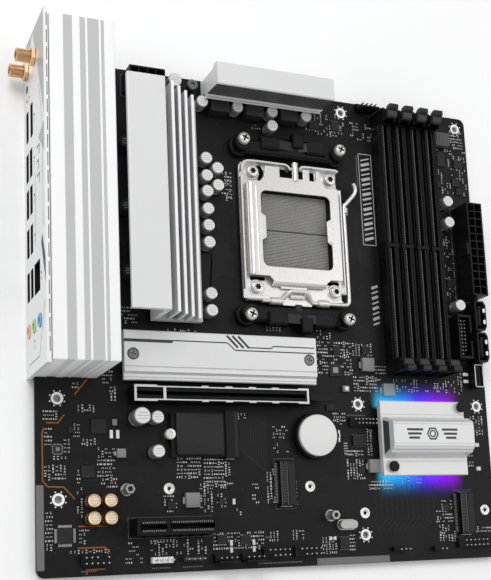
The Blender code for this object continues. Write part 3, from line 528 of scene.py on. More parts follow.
def build_silkscreen():
    silk = Shape(SILK)
    for node, margin in (("atx_power_connector", 0.8), ("cpu_power_connector", 0.8),
            ("pcie_short_slot", 0.9), ("usb3_header", 0.7), ("m2_socket_left", 1.2),
            ("m2_socket_right", 1.2)):
        x, down, _ = spans(node)
        frame_line(silk, wider(x, margin), wider(down, margin), 0.15, SILK)
    frame_line(silk, (174.2, 181.8), (28.2, 78.6), 0.35, PRINT)
    for i in range(17):
        top = 30.4 + i * 2.75
        flat_line(silk, [(175.4, top + 1.5), (180.6, top)], (0.7, 1.5, 1.1)[i % 3], PRINT)
    for i in range(8):
        slant = [(177.2, 102.2 + i * 2.8), (181, 100.7 + i * 2.8)]
        flat_line(silk, slant, 0.9 if i % 2 else 1.5, STAMP)
    step, dash = 0.9, 0.5
    columns = ((172.6, 30, 18), (171.6, 12, 7))
    rows = ((20, 241.6, 8), (53, 241.6, 9), (68, 241.6, 10), (106, 241.6, 24), (158, 169.6, 11),
        (174, 0.9, 6))
    for places, (go_x, go_down) in ((columns, (0, 1)), (rows, (1, 0))):
        for x, down, length in places:
            for i in range(int(length / step)):
                spot = (x + i * step * go_x, down + i * step * go_down)
                flat_line(silk, [spot, (spot[0] + dash, spot[1])], 0.6, SILK)
    flat_line(silk, [(110, 229.3), (113, 229.3)], 0.4, SILK)
    show("silkscreen", silk)


def build_traces():
    """Copper that shows through the mask, the amber outline of the audio corner and bare strips."""
    traces = Shape()
    for i in range(26):
        start = 58 + i * 1.15
        bend = [(163.5, start), (168 + i * 0.1, start), (172.5, start + 3.5), (182.6, start + 3.5)]
        flat_line(traces, bend, 0.28, TRACE, RELIEF)
    for i in range(16):
        start, left = 84 + i * 1.1, 88 - i * 0.1
        bend = [(97.5 + i * 0.2, start), (92, start), (left, start + 4.2), (left, start + 12)]
        flat_line(traces, bend, 0.28, TRACE, RELIEF)
    for i in range(12):
        stub, left, right = 112.5 + i * 2.1, 98.2 + i * 1.3, 172 + i * 3.1
        flat_line(traces, [(stub, 152), (stub, 157.2)], 0.3, TRACE, RELIEF)
        bend = [(left, 172), (left, 186 + i), (104 + i * 1.3, 192 + i)]
        flat_line(traces, bend, 0.28, TRACE, RELIEF)
        bend = [(right, 204 + (i % 3)), (right, 222), (166 + i * 3.1, 228)]
        flat_line(traces, bend, 0.3, TRACE, RELIEF)
    show("relief_traces", traces)
    amber = Shape(COPPER)
    for route in ([(24, 154.8), (18.2, 162)], [(5.2, 175), (10.4, 175), (13.4, 171.2)],
            [(4, 177.4), (3.2, 179.6), (3.2, 201.2), (5.4, 203.7), (12.6, 204), (17, 208.6),
            (17.3, 209.4)], [(19, 221.6), (32.4, 221.6), (34.8, 219.2)],
            [(18.6, 231.2), (30.8, 231.2), (32.4, 232.4), (32.4, 234.6)],
            [(22.4, 243), (22.6, 240.9), (31, 240.9)]):
        flat_line(amber, route, 0.65, COPPER, 0.025)
        for spot in route[1:-1]:
            amber.prism("up", circle(spot, 0.33, 10), SUNK, 0.024)
    show("amber_traces", amber)
    strips = Shape(PALE)
    for x, down in (((0.15, 3.6), (203, 240.5)), ((137.2, 178), (240.4, 243.65))):
        strips.prism("up", rounded(x, down, 0.4), SUNK, 0.03)
    show("edge_strips", strips)


def build_hole_pads():
    """Plated rings with dotted ground pads, and collars round the holes for M.2 modules. The rings
    and hole barrels are wide and white: painted light that keeps the holes bright.
    """
    pads = Shape(CAN_TOP)
    for centre in ((165.1, 6.35), (237.49, 6.35), (10.16, 163.83), (165.1, 163.83),
            (237.49, 163.83), (10.16, 209.55), (165.1, 229.87)):
        ring = [(1.75, -1.4), (1.75, 0.03), (2.85, 0.03), (2.85, -0.02), (2.05, -0.02),
            (2.05, -1.4), (1.75, -1.4)]
        # Painted light: a wide white ring and a white barrel inside the hole.
        pads.turned(centre, ring, 32, mat=WHITE)
        for spot in circle(centre, 3.6, 8, math.pi / 8):
            pads.turned(spot, [(0, 0), (0.38, 0), (0.38, 0.03), (0.26, 0.1), (0, 0.12)], 10)
    for centre in ((62.2, 205.4), (135.3, 205.3), (165.3, 219), (237.6, 219)):
        collar = [(0.9, SUNK), (2.75, SUNK), (2.75, 0.3), (2.5, 0.5), (1.4, 0.5), (0.9, 0.2),
            (0.9, SUNK)]
        pads.turned(centre, collar, 28, mat=SCREW)
    show("hole_pads", pads)


# ---- small parts ---------------------------------------------------------------------------

def small_part(parts, x, down, length, width, upright, body):
    """A resistor or ceramic capacitor with two tinned ends."""
    inner, outer = length * 0.23, length / 2
    for mat, first, last, grow in ((SOLDER, -outer, -inner, 0.02), (body, -inner, inner, 0),
            (SOLDER, inner, outer, 0.02)):
        half = width / 2 + grow
        along, across = (first, last), (-half, half)
        a, b = (across, along) if upright else (along, across)
        parts.box((x + a[0], x + a[1]), (down + b[0], down + b[1]), (0, width * 0.55 + grow), mat)


def scatter(parts, x, down, count, sizes=((1, 0.46), (1, 0.46), (1.6, 0.72))):
    """Small parts in rows on a loose grid, none on top of another."""
    pitch = 1.75
    columns, rows = int((x[1] - x[0]) / pitch), int((down[1] - down[0]) / pitch)
    spots = [(i, j) for i in range(columns) for j in range(rows)]
    draw.shuffle(spots)
    upright = draw.random() < 0.5
    for i, j in spots[:count]:
        length, width = draw.choice(sizes)
        body = draw.choice((CERAMIC, CERAMIC, RESISTOR))
        turned = upright if draw.random() < 0.8 else not upright
        spot = (x[0] + (i + 0.5) * pitch, down[0] + (j + 0.5) * pitch)
        small_part(parts, spot[0], spot[1], length, width, turned, body)


def build_small_parts():
    parts = Shape()
    regions = [(3.5, 12, 169, 175.5, 14), (17, 20.5, 175, 182, 8), (4, 7.5, 177, 186, 9),
        (12.6, 17.2, 182, 190, 10), (7.5, 15.5, 190, 193, 8), (3.5, 15.5, 194, 202.5, 22),
        (18.5, 21.5, 196, 203, 7), (28, 38, 186, 204, 34), (21, 29, 182, 186, 10),
        (19, 28.5, 166.5, 171, 9), (17, 22, 156, 160, 4), (31, 37.5, 150, 157, 9),
        (34.5, 39, 157.5, 166, 8), (32, 38, 198, 206.5, 10), (18, 21.5, 204, 218, 9),
        (4, 8, 214.5, 232, 20), (14.5, 34.5, 232, 234.6, 12), (19, 25, 222.6, 230, 8),
        (40.5, 50.5, 119, 129, 18), (66, 79, 190.5, 201, 38), (79.5, 90, 191, 205, 52),
        (90, 95, 193, 200, 9), (59, 67, 208, 217.5, 14), (77, 84.5, 203, 217.5, 24),
        (86, 98, 202.5, 206, 5), (85.5, 92, 208, 216, 9), (104, 108, 203, 214, 6),
        (95, 99, 215, 219, 2), (52, 80, 229, 236, 34), (83, 110, 226, 236, 60),
        (40, 50, 229, 240, 12), (112, 118, 226.5, 232.5, 9), (124, 131, 226, 232, 10),
        (111.5, 117, 196, 215, 20), (126.6, 130, 195, 215, 9), (116, 125, 175, 189, 16),
        (97.5, 104, 169, 173, 5), (140, 150, 230, 240, 24), (155.5, 160, 229, 239, 10),
        (142, 163, 131.5, 150, 74), (163, 176, 132, 139, 22), (163, 177, 149, 158.5, 36),
        (176, 184, 143, 149, 12), (186, 202, 150, 158, 22), (204, 226, 150, 158, 18),
        (176, 180, 150, 153, 4), (150, 158, 168, 176, 12), (168.5, 173.5, 176.5, 191, 18),
        (156, 168, 187, 192, 12), (156, 168, 192, 202.5, 30), (168, 182, 202.5, 208.5, 22),
        (184, 200, 201.5, 206, 8), (207, 218, 213, 226, 26), (208, 219, 226, 236, 20),
        (219, 242, 227.5, 232.5, 24), (229.5, 233, 186, 197, 8), (232, 241, 169, 181, 26),
        (226, 231, 142, 158, 14), (219.5, 223, 68, 102, 26), (223.5, 231, 70, 105, 30),
        (220, 243, 19, 46, 78), (233, 243, 8, 19, 26), (143, 167, 8.5, 22, 46),
        (158, 168, 12, 20, 12), (112, 119, 19, 24, 6), (94.5, 101, 47, 64, 16),
        (115, 124, 124.6, 128.6, 10), (143, 152, 122, 131, 10), (221, 230.5, 108, 113, 8),
        (34, 42, 1.5, 13, 8), (170, 184, 10.5, 21, 18), (63, 80, 129, 131, 6),
        (225, 231, 64, 69, 4)]
    for left, right, near, far, count in regions:
        scatter(parts, (left, right), (near, far), count)
    for i in range(14):
        small_part(parts, 97.2 + (i % 2) * 2.4, 47.5 + i // 2 * 2.2, 1, 0.5, False, RESISTOR)
    for i in range(8):
        small_part(parts, 52.5 + i * 1.6, 229.2, 1, 0.5, True, CERAMIC)
    show("surface_parts", parts)


def chip(parts, x, down, width, depth, height=0.85, leads=0, pad=False):
    """A flat package with a pin-one dot. leads is the number of legs along each long side."""
    half_x, half_d = width / 2, depth / 2
    inset = 0.08
    sides = rect(around(x, half_x), around(down, half_d))
    top = rect(around(x, half_x - inset), around(down, half_d - inset))
    layers = ((sides, 0.08), (sides, height * 0.6), (top, height))
    parts.skin([[(a, b, h) for a, b in ring] for ring, h in layers], CHIP_AND_SHADE)
    dot = circle((x - half_x + 0.8, down + half_d - 0.8), 0.28, 10)
    parts.prism("up", dot, height - 0.02, height + 0.015, PRINT_AND_SHADE)
    if pad:
        middle_pad = rounded(around(x, half_x * 0.45), around(down, half_d * 0.45), 0.3)
        parts.prism("up", middle_pad, height - 0.02, height + 0.03, LEADS)
    for i in range(leads):
        shift = (i - (leads - 1) / 2) * (width - 0.8) / max(1, leads - 1)
        for leg in flanks(down, half_d - 0.05, half_d + 0.55):
            parts.box(around(x + shift, 0.14), leg, (0, 0.22), LEADS)


def build_chips():
    parts = Shape()
    for spec in ((29, 176.6, 7.2, 6.6), (23.6, 197.2, 6.2, 5.6), (16.3, 178.4, 2.6, 2.6),
            (152.8, 146.6, 6.6, 6.6, 0.9, 0, True), (154.2, 136.4, 4, 4.8, 0.9, 5),
            (171.2, 135.6, 4.6, 4.2, 0.9, 4), (164.2, 182.6, 7.8, 5.4, 1.4, 6),
            (164.6, 197.4, 3.6, 3.6), (152.6, 233.6, 5.4, 5.6, 0.9, 6), (63, 213.2, 4, 3.6),
            (87.4, 229.8, 5, 4.2, 1.1, 5), (99.4, 230.2, 5.4, 4.4, 1.1, 5),
            (148.2, 15.6, 5.4, 5, 0.9), (160.8, 14.6, 4.8, 5.2, 0.9, 5),
            (226.2, 25.6, 5, 8.4, 0.9), (237.2, 27.4, 5.6, 5, 0.9, 5),
            (234.8, 38.4, 4.6, 4.4, 0.9), (223.2, 40.6, 3.8, 3.6), (226.6, 96.4, 4.4, 4.2, 1, 4),
            (236.6, 43.6, 4, 3.6, 1), (148.8, 165.8, 5, 3.4), (213.2, 217.2, 3.2, 3.6),
            (235.6, 174.6, 3.4, 3.6, 0.9, 3), (88.2, 211.6, 3, 3),
            (10, 187, 3.8, 3.8, 0.8, 0, True)):
        chip(parts, *spec)
    x, down = 12.9, 225.6     # the audio chip, with legs on all four sides
    for i in range(12):
        shift = (i - 5.5) * 0.52
        for leg in flanks(x, 3.55, 4.75):
            parts.box(leg, around(down + shift, 0.13), (0.02, 0.3), SOLDER)
        for leg in flanks(down, 3.55, 4.75):
            parts.box(around(x + shift, 0.13), leg, (0.02, 0.3), SOLDER)
    chip(parts, x, down, 7.2, 7.2, 1.3)
    walls(parts, around(10, 2.4), around(187, 2.4), 0.5, (0, 0.25), LEADS)
    show("chips", parts, bevel=0.05)


def capacitor(parts, x, down, radius, height, can, top, rim=0.5):
    """An aluminium can on a plastic foot, with a rolled groove and a marked top."""
    foot = rounded(around(x, radius + 0.15), around(down, radius + 0.15), 1.2)
    parts.prism("up", foot, 0.02, 0.9, BLACK)
    can_line = [(0, 0.85), (radius * 0.9, 0.85), (radius * 0.97, 1.1), (radius * 0.97, 1.6),
        (radius * 0.9, 1.9), (radius * 0.97, 2.25), (radius, 2.6), (radius, height - 0.55),
        (radius - 0.12, height - 0.15), (radius - 0.3, height), (radius - 0.42, height - 0.04)]
    parts.turned((x, down), can_line + [(radius - rim, height - 0.12), (0, height - 0.12)], 32,
        mat=can)
    parts.turned((x, down), [(0, height - 0.2), (radius - rim - 0.02, height - 0.2),
        (radius - rim - 0.02, height - 0.06), (0, height - 0.06)], 28, mat=top)
    for i in (-1, 0, 1):
        reach = radius * (0.6 if i else 0.75)
        line = down + i * radius * 0.36
        mark = stroke((x - reach * 0.8, line), (x + reach, line), radius * 0.09)
        parts.prism("up", mark, height - 0.08, height - 0.045, STAMP)


def build_capacitors():
    silver = Shape()
    for down in (43.6, 52.6, 60.6, 69.6, 78, 86.6, 112.2, 120.6):
        capacitor(silver, 84.3, down, 3.1, 7.6, CAN, CAN_TOP)
    for down in (48.2, 57):
        capacitor(silver, 90.1, down, 3.1, 7.6, CAN, CAN_TOP)
    for x in (83.2, 102.2, 121.4, 140.6):
        capacitor(silver, x, 14.6 if x > 90 else 14.2, 3.1, 7.6, CAN, CAN_TOP)
    capacitor(silver, 121, 22.2, 3.1, 7.6, CAN, CAN_TOP)
    for x, down in ((224, 52.4), (224, 64.2), (227, 110.2)):
        capacitor(silver, x, down, 3.1, 8, CAN, CAN_TOP)
    capacitor(silver, 47, 172.6, 4, 10.6, CAN, CAN_TOP)
    for x, down in ((55.2, 172.8), (55.2, 188.6)):
        capacitor(silver, x, down, 3.1, 8, CAN, CAN_TOP)
    for down in (40, 72, 104):
        capacitor(silver, 43.2, down, 3.1, 7.6, CHOKE, GREY)
    show("polymer_capacitors", silver)
    gold = Shape()
    for x in (24.8, 32.5):
        for down in (210.6, 218.4):
            capacitor(gold, x, down, 3.1, 7.2, GOLD, GOLD_TOP, 1.2)
    show("audio_capacitors", gold)


def inductor(parts, x, down, width, depth, height, mat):
    parts.rounded_box(around(x, width / 2), around(down, depth / 2), (0.25, height), 0.35, 2, mat)
    for end in flanks(x, width / 2 - 1, width / 2 + 0.7):
        parts.box(end, around(down, depth * 0.22), (0, 0.35), SOLDER)


def build_inductors():
    parts = Shape(DEEP)
    for x, down, width, depth in ((73, 211, 7, 7), (171.2, 143.4, 7, 7), (182.6, 156.4, 6.8, 6.6),
            (171.6, 195.6, 6.8, 6.8), (39, 189, 4.2, 4.2)):
        inductor(parts, x, down, width, depth, 2.9, FERRITE)
    parts.rounded_box((221.6, 230.6), (11.2, 18.8), (0.3, 4), 0.4, 2)
    for i in range(5):
        parts.rounded_box((222.3 + i * 1.6, 223.2 + i * 1.6), (12, 18), (3.9, 4.25), 0.15, 1,
            mat=PIN)
    show("inductors", parts)
    chokes = Shape(CHOKE)
    for x in (93, 111.8, 131.1):
        chokes.rounded_box(around(x, 5), (11.3, 18.2), (0.2, 7.4), 0.5)
    for down in (24, 34, 46, 56, 66, 78, 88, 98, 110, 120):
        chokes.rounded_box((59.4, 68.6), around(down, 4.2), (0.1, 2.9), 0.4)
        chokes.rounded_box((70.4, 78.4), around(down, 3.4), (0.1, 2.9), 0.3)
    for x in (92, 105, 118, 131, 142):
        chokes.rounded_box(around(x, 4), (2.2, 10.6), (0.1, 2.7), 0.3)
    show("chokes", chokes)


def pins(parts, x, down, columns, rows, pitch=2.54, skip=(), top=8.2, base=2.5):
    """A pin header: a plastic base and square posts with chamfered tips."""
    width, depth = (columns - 1) * pitch, (rows - 1) * pitch
    parts.box((x - 1.2, x + width + 1.2), (down - 1.2, down + depth + 1.2), (0.05, base), BLACK)
    for i in range(columns):
        for j in range(rows):
            if (i, j) in skip:
                continue
            px, pd, half = x + i * pitch, down + j * pitch, 0.32
            square = rect(around(px, half), around(pd, half))
            tip = rect(around(px, 0.16), around(pd, 0.16))
            rings = [[(a, b, h) for a, b in ring]
                for ring, h in ((square, base - 0.1), (square, top - 0.4), (tip, top))]
            parts.skin(rings[:2], PIN)
            parts.skin(rings[1:], CAN_TOP)


def build_headers():
    parts = Shape(BLACK)
    pins(parts, 20.6, 235.6, 5, 2, skip=((3, 0),))
    pins(parts, 109, 235.4, 5, 2, skip=((0, 1),))
    pins(parts, 125.6, 235.4, 5, 2, skip=((0, 1),))
    pins(parts, 160, 172.2, 7, 2, 2, ((0, 1),), 6.4, 2)
    pins(parts, 219.6, 234.4, 9, 2, skip=((8, 0),))
    pins(parts, 180.6, 237.6, 3, 1)
    pins(parts, 204.6, 238.2, 2, 1)
    pins(parts, 84.2, 238.2, 4, 1)
    pins(parts, 98, 238.2, 4, 1)
    pins(parts, 175.2, 2.4, 4, 1)
    for x, down in ((83, 240.6), (96.8, 240.6), (174, 4.8)):
        parts.box((x, x + 10.2), (down - 0.9, down), (0.05, 8.4))
        parts.box((x, x + 10.2), (down - 4.6, down), (0.05, 1.2))
    for i in range(4):
        parts.box((52.3 + i * 2.54, 54.6 + i * 2.54), (236.6, 239.4), (0.05, 3.2), WHITE_PLASTIC)
        parts.box((67.3 + i * 2.54, 69.6 + i * 2.54), (236.8, 239.2), (0.05, 3), GREY)
        for x in (53.45, 68.45):
            parts.box(around(x + i * 2.54, 0.3), (237.7, 238.3), (3, 8), SOLDER)
    show("pin_headers", parts, bevel=0.08)


def build_fittings():
    """Standoffs, crystal, battery clip, small metal parts and light emitters."""
    parts = Shape(SOLDER)
    for spot in ((41.6, 205.6), (145.6, 219.8)):
        parts.turned(spot, disc(2.9, 0.05, 0.6), 24, mat=DULL)
        hexagon = ((2.3, 0.5), (2.5, 0.8), (2.5, 6.2), (2.3, 6.6), (1.35, 6.6), (1.25, 5.6))
        parts.skin([[(a, b, h) for a, b in circle(spot, r, 6)] for r, h in hexagon], DULL)
        # Painted shade: a dark disc on the floor of the standoff's hole.
        parts.prism("up", circle(spot, 1.3, 18), 5.55, 5.62, CHIP_AND_SHADE)
    for x in (34.9, 37.9):
        parts.box(around(x, 0.7), (178.2, 182), (0, 0.9), WHITE_PLASTIC)
    parts.box((35.4, 37.6), (173.2, 176), (0, 1.1), LEADS)
    for x, down in ((92, 231.4), (92, 234.6), (103.6, 231.4), (103.6, 234.6), (94.2, 212)):
        parts.box(around(x, 0.65), around(down, 1.3), (0, 1))
    for x in (144.9, 147.2):
        parts.box(around(x, 0.7), (230.2, 231.8), (0, 0.8))
    for x, down in ((235.4, 184.6), (235.4, 197.2)):
        parts.box(around(x, 1.3), around(down, 1), (0, 0.8), STRIPE)
        parts.prism("up", circle((x, down), 0.7, 14), 0.78, 0.86, CAN_TOP)
    parts.rounded_box((156, 159.8), (154.6, 157.8), (0.1, 1.8), 0.25, 2, mat=LEADS)
    lens = [(0, 1.7), (1.1, 1.7), (1.1, 2.4), (0.9, 2.6), (0, 2.6)]
    parts.turned((157.9, 156.2), lens, 18, mat=WHITE_PLASTIC)
    x, down = 154.4, 224.5     # the crystal's can
    can = rounded(around(x, 5), around(down, 2.1), 2.05, 8)
    lid = [(x + (a - x) * 0.96, down + (b - down) * 0.94) for a, b in can]
    parts.prism("up", rounded(around(x, 5.5), around(down, 2.6), 2.5, 8), 0.1, 0.5, DULL)
    layers = ((can, 0.45), (can, 2.9), (lid, 3.3))
    parts.skin([[(a, b, h) for a, b in ring] for ring, h in layers], DULL)
    for down in (146.6, 150.4):
        parts.rounded_box((229.9, 233.2), around(down, 0.9), (0.05, 1.1), 0.4, 2, mat=CAN_TOP)
    for i in range(5):
        parts.box((155.2, 157.4), (183.6 + i * 1.3, 184.3 + i * 1.3), (0, 0.5), LEADS)
    parts.rounded_box((3.4, 9), (16.6, 22.2), (0.3, 7.6), 0.3, 2, mat=BLACK)
    show("board_fittings", parts)


# ---- rear ports ----------------------------------------------------------------------------

STRIPES = ((0.207, 0.346), (0.459, 0.544), (0.577, 0.753), (0.784, 0.834))


def build_io_cover():
    x, down, up = spans("io_cover")
    wall, deep = 1.6, 0.22
    shell = Shape(WHITE)
    shell.rounded_box(x, down, (up[0] - 3, up[1]), 0.8, 4)
    hollow = Shape()
    hollow.box((x[0] - 1, x[1] - wall), wider(down, -wall), (up[0] - 4, up[1] - wall))
    foot = Shape()
    foot.box(wider(x, 2), wider(down, 2), (up[0] - 6, up[0]))
    width = x[1] - x[0]
    edges = [(x[0] + width * first, x[0] + width * last) for first, last in STRIPES]
    bands = Shape()
    for edge in edges:
        bands.box(edge, wider(down, 2), (up[1] - deep, up[1] + 1))
        bands.box(edge, (down[1] - deep, down[1] + 1), (up[0] - 2, up[1] + 1))
    mesh = carve(shell, hollow, foot, bands)

    def painted(mat, depth_of, floor):
        paint(mesh, mat, lambda *spot: abs(spot[depth_of] - floor) < 0.02
            and any(first < spot[0] < last for first, last in edges))

    painted(STRIPE, 2, up[1] - deep)
    # Painted light: the stripes on the end face are painted much lighter than those on top, against
    # that face's shade.
    painted(STRIPE_END_LIT, 1, down[1] - deep)
    show("rear_cover", mesh, ["io_cover"])


def shield_openings():
    """The rear shield's openings: outlines in (down, up)."""
    outlines = [rounded(around(38.2, half), high, 1.2, 3)
        for half, high in ((7.5, (1.7, 6.9)), (8.1, (11.2, 16.4)))]
    for centre in (58, 75.5, 93.9, 114.4):
        outlines += [rect(around(centre, 6.7), high) for high in ((1.1, 6.5), (9.1, 14.5))]
    outlines.append(rect((107.4, 121.4), (16.9, 28.7)))
    outlines += [circle((11, high), 3.5, 24) for high in (4.6, 20.6)]
    outlines += [circle((134.7, high), 3.3, 24) for high in (4.4, 16.2, 28)]
    return outlines + [circle((19.4, 4), 2, 20), circle((25, 3.6), 0.9, 14)]


def build_shield():
    x, down, up = spans("io_shield")
    face, sheet, rim = x[0], 0.3, 0.7
    plate, hollow = Shape(SHIELD), Shape()
    plate.box(x, down, up)
    hollow.box((face + sheet, x[1] + 1), wider(down, -rim), wider(up, -rim))
    openings = [prism_cutter("x", outline, face - 1, face + 1.5) for outline in shield_openings()]
    mesh = carve(plate, hollow, *openings)
    # Painted shade: the opening walls and the back of the front sheet are painted black.
    paint_within(mesh, BLACK, (face + 0.05, face + 1.2), wider(down, 0.1 - rim),
        wider(up, 0.1 - rim))
    show("rear_shield", mesh, ["io_shield"])
    build_shield_marks(face)
    fingers = Shape(DEEP)
    for i in range(19):
        start = -0.6 + i * 8.05
        fingers.box((face + 1.1, face + 1.5), (start, start + 6.2), (up[1] - 0.2, up[1] + 0.02))
    show("shield_fingers", fingers)


def build_shield_marks(face):
    """Painted wedges, strokes and port signs, as thin plates on the shield's outer face."""
    marks = Shape(PRINT_AND_SHADE)
    sheet = (face - 0.03, face + 0.02)
    for outline in ([(-2.6, 17), (-2.6, 39.8), (47, 39.8), (13, 25.5)],
            [(49, 39.8), (63, 39.8), (52, 27.5)]):
        marks.prism("x", outline, *sheet, WEDGE)
    marks.prism("x", [(110, 39.8), (121, 39.8), (101, 31.4), (98, 34)], *sheet)
    for i in range(4):
        slant = stroke((-2.4, 16 - 3.4 * i), (5.4 - 1.2 * i, 7.2 - 2.6 * i), 0.8)
        marks.prism("x", slant, *sheet, DEEP)
    for route in ([(28, 30), (48, 36), (95, 36)], [(66, 20.4), (100, 20.4)],
            [(128, 38), (150, 26), (150, 4)]):
        marks.prism("x", ribbon(route, 0.35), *sheet)
    for i, length in enumerate((5.2, 3.6, 5.2)):
        start, top = 56 + i * 6.6, 24.5 + length
        marks.prism("x", ribbon([(start, 24.5), (start, top), (start + 4.4, top)], 0.8), *sheet)
    for down, up in ((25, 8.5), (38, 19.5), (58, 18.6), (75.5, 18.6), (93.9, 18.6), (114.4, 31.4),
            (141.5, 16)):
        marks.prism("x", circle((down, up), 0.8, 12), *sheet)
        marks.prism("x", rect((down + 1.4, down + 3.6), around(up, 0.25)), *sheet)
    show("shield_marks", marks)


def port_shell(node, name, cavities):
    """A stamped port shell, painted black inside its openings as painted shade. A cavity is (depth,
    down range, up range).
    """
    x, down, up = spans(node)
    front = spans("io_shield")[0][0] + 0.36
    shell = Shape(SHELL)
    shell.box((front, x[1]), down, up)
    hollows = []
    for depth, d, u in cavities:
        hollows.append(Shape())
        hollows[-1].box((front - 1, depth), d, u)
    mesh = carve(shell, *hollows)
    # Painted shade: the faces inside each cavity are painted black.
    for _, d, u in cavities:
        paint_within(mesh, BLACK, (front - 1, x[1] - 0.1), wider(d, 0.02), wider(u, 0.02))
    show(name, mesh, [node])


def build_ports():
    """The USB, network and video ports with their tongues and contacts."""
    inside = Shape(GOLD)
    for node, name in (("usb_stack_1", "port_pair_1"), ("usb_stack_2", "port_pair_2"),
            ("usb_stack_3", "port_pair_3"), ("network_usb_stack", "network_port_shell")):
        x, down, _ = spans(node)
        centre = middle(down)
        wide = around(centre, 6.55)
        cavities = [(13.5, wide, (1.2, 6.4)), (13.5, wide, (9.2, 14.4))]
        if node == "network_usb_stack":
            cavities.append((12.5, around(centre, 6.7), (17.1, 28.5)))
        port_shell(node, name, cavities)
        for low in (1.3, 9.3):
            tongue = (low + 2.66, low + 4.42)
            inside.box((x[0] + 1, x[0] + 15), around(centre, 5.42), tongue, BLACK)
            for i in range(4):
                spot = centre - 3.75 + i * 2.5
                inside.box((x[0] + 1.3, x[0] + 9), around(spot, 0.5), (low + 2.58, low + 2.68))
    for i in range(8):
        spot = centre - 3.6 + i * 1.03
        inside.box((x[0] + 2, x[0] + 12), around(spot, 0.2), (26.6, 27))
    x, down, _ = spans("video_port_stack")
    centre = middle(down)
    port_shell("video_port_stack", "video_port_shell",
        [(11, around(centre, 7.4), (1.8, 6.8)), (11, around(centre, 8), (11.3, 16.3))])
    for half, low in ((5.62, 3.86), (6.02, 13.36)):
        inside.box((x[0] + 0.9, x[0] + 13.2), around(centre, half), (low, low + 1.08), BLACK)
    show("port_insulators", inside)


def build_jacks():
    """The rings of the audio jacks, and the flashback button."""
    dress("audio_jack_stack", BLACK, 0.2)
    rings = Shape(CHIP_AND_SHADE)
    x, down, _ = spans("audio_jack_stack")
    face = x[0]
    for height, mat in ((4.4, PINK), (16.2, GREEN), (28, BLUE)):
        centre = (middle(down), height)
        ring = [(1.7, face - 0.05), (2.9, face - 0.05), (3.1, face + 0.15), (3.1, face + 0.6),
            (1.7, face + 3), (1.7, face - 0.05)]
        rings.turned(centre, ring, 28, "x", mat=mat)
        rings.turned(centre, disc(1.72, face + 0.5, face + 1), 24, "x")
    show("jack_rings", rings)
    x, down, up = spans("flashback_button")
    face, radius = x[0], (down[1] - down[0]) / 2
    button = Shape(GREY)
    cap = [(0, face + 0.15), (radius * 0.55, face + 0.12), (radius - 0.3, face),
        (radius, face + 0.3), (radius, x[1]), (0, x[1])]
    button.turned((middle(down), middle(up)), cap, 28, "x")
    show("button_cap", button, ["flashback_button"], "button")


def build_antennas():
    """Threaded brass barrels with a white insulator, a centre pin, a hexagonal nut and a block."""
    radius, root, bore, pitch, nut_face = 3.05, 2.75, 2.2, 0.62, -3.2
    for index in (1, 2):
        node = f"antenna_connector_{index}"
        x, down, up = spans(node)
        centre = (middle(down), middle(up))
        tip, base = x[0], x[1] - 8.4
        line = [(bore, tip + 0.3), (bore + 0.25, tip), (radius - 0.35, tip), (radius, tip + 0.35)]
        for i in range(int((base - tip - 1.2) / pitch)):
            start = tip + 0.5 + i * pitch
            line += [(radius, start), (radius, start + 0.18), (root, start + 0.33),
                (root, start + 0.44)]
        line += [(radius, base - 0.6), (radius, base + 0.8), (bore, base + 0.8), (bore, tip + 0.3)]
        piece = Shape(GOLD)
        piece.turned(centre, line, 28, "x")
        piece.turned(centre, disc(bore, base - 1.4, base + 0.7), 20, "x", mat=WHITE_PLASTIC)
        pin = [(0, tip + 3.4), (0.3, tip + 3.2), (0.45, tip + 3.6), (0.45, base), (0, base)]
        piece.turned(centre, pin, 12, "x")
        nut = ((4.1, nut_face - 1.8), (4.5, nut_face - 1.5), (4.5, nut_face))
        piece.skin([[(h, a, b) for a, b in circle(centre, r, 6)] for r, h in nut])
        piece.rounded_box((x[1] - 6.8, x[1]), around(centre[0], 3.6), around(centre[1], 3.6), 0.3,
            2)
        show(f"antenna_fitting_{index}", piece, [node])


# ---- heatsinks -----------------------------------------------------------------------------

def build_left_heatsink():
    x, down, up = spans("vrm_heatsink_left")
    fins = [(60.9, 24.6), (65.6, 20.8), (70.3, 17), (75, 13.4)]
    thick, web, floor = 1.5, 54.4, 7
    plate, top = web + 2.6, up[1]
    outline = [(x[0], top - 0.6), (x[0] + 0.6, top), (plate - 0.6, top), (plate, top - 0.6)]
    outline += [(plate, floor + 0.6)] + arc((plate + 0.6, floor + 0.6), 0.6, 180, 270, 3)
    for start, tip in fins:
        end = start + thick
        outline += [(start - 0.3, floor), (start, floor + 0.4), (start, tip - 0.3),
            (start + 0.3, tip), (end - 0.3, tip), (end, tip - 0.3), (end, floor + 0.4),
            (end + 0.3, floor)]
    outline += [(x[1], floor), (x[1], up[0]), (web, up[0]), (web, top - 4), (web - 1.2, top - 2.8),
        (x[0], top - 2.8)]
    body, holes, screws = Shape(WHITE), Shape(), Shape(DARK_STEEL)
    body.prism("down", outline, *down)
    for spot in ((63.9, down[0] + 3.4), (63.9, down[1] - 3.4)):
        holes.prism("up", circle(spot, 2.6, 20), 5.2, 9)
        head = [(0, 5), (2.2, 5), (2.2, 6.3), (1.8, 6.7), (0.9, 6.7), (0.5, 6), (0, 6)]
        screws.turned(spot, head, 20)
    mesh = carve(body, holes)
    paint(mesh, SATIN, lambda px, pd, pu: px < plate - 0.1 and pu > top - 0.1)
    # Painted shade: the floor between the fins and the fins' sides are painted a darker grey than
    # the white fins.
    paint(mesh, FIN_SIDE_SHADE, lambda px, pd, pu: px > plate - 0.6 and pu < floor + 0.5
        or any(min(abs(px - start), abs(px - start - thick)) < 0.05 for start, _ in fins))
    show("left_heatsink", mesh, ["vrm_heatsink_left"], bevel=0.08)
    post = [(0, 0.1), (2.2, 0.1), (2.2, 6), (2.7, 6.2), (2.7, 7.6), (2.3, 8), (1.1, 8), (0.8, 7.2),
        (0, 7.2)]
    screws.turned((78.3, 6.3), post, 24)
    capacitor(screws, 69.1, 5.3, 3.4, 8, CAN, CAN_TOP)
    show("heatsink_screws", screws)


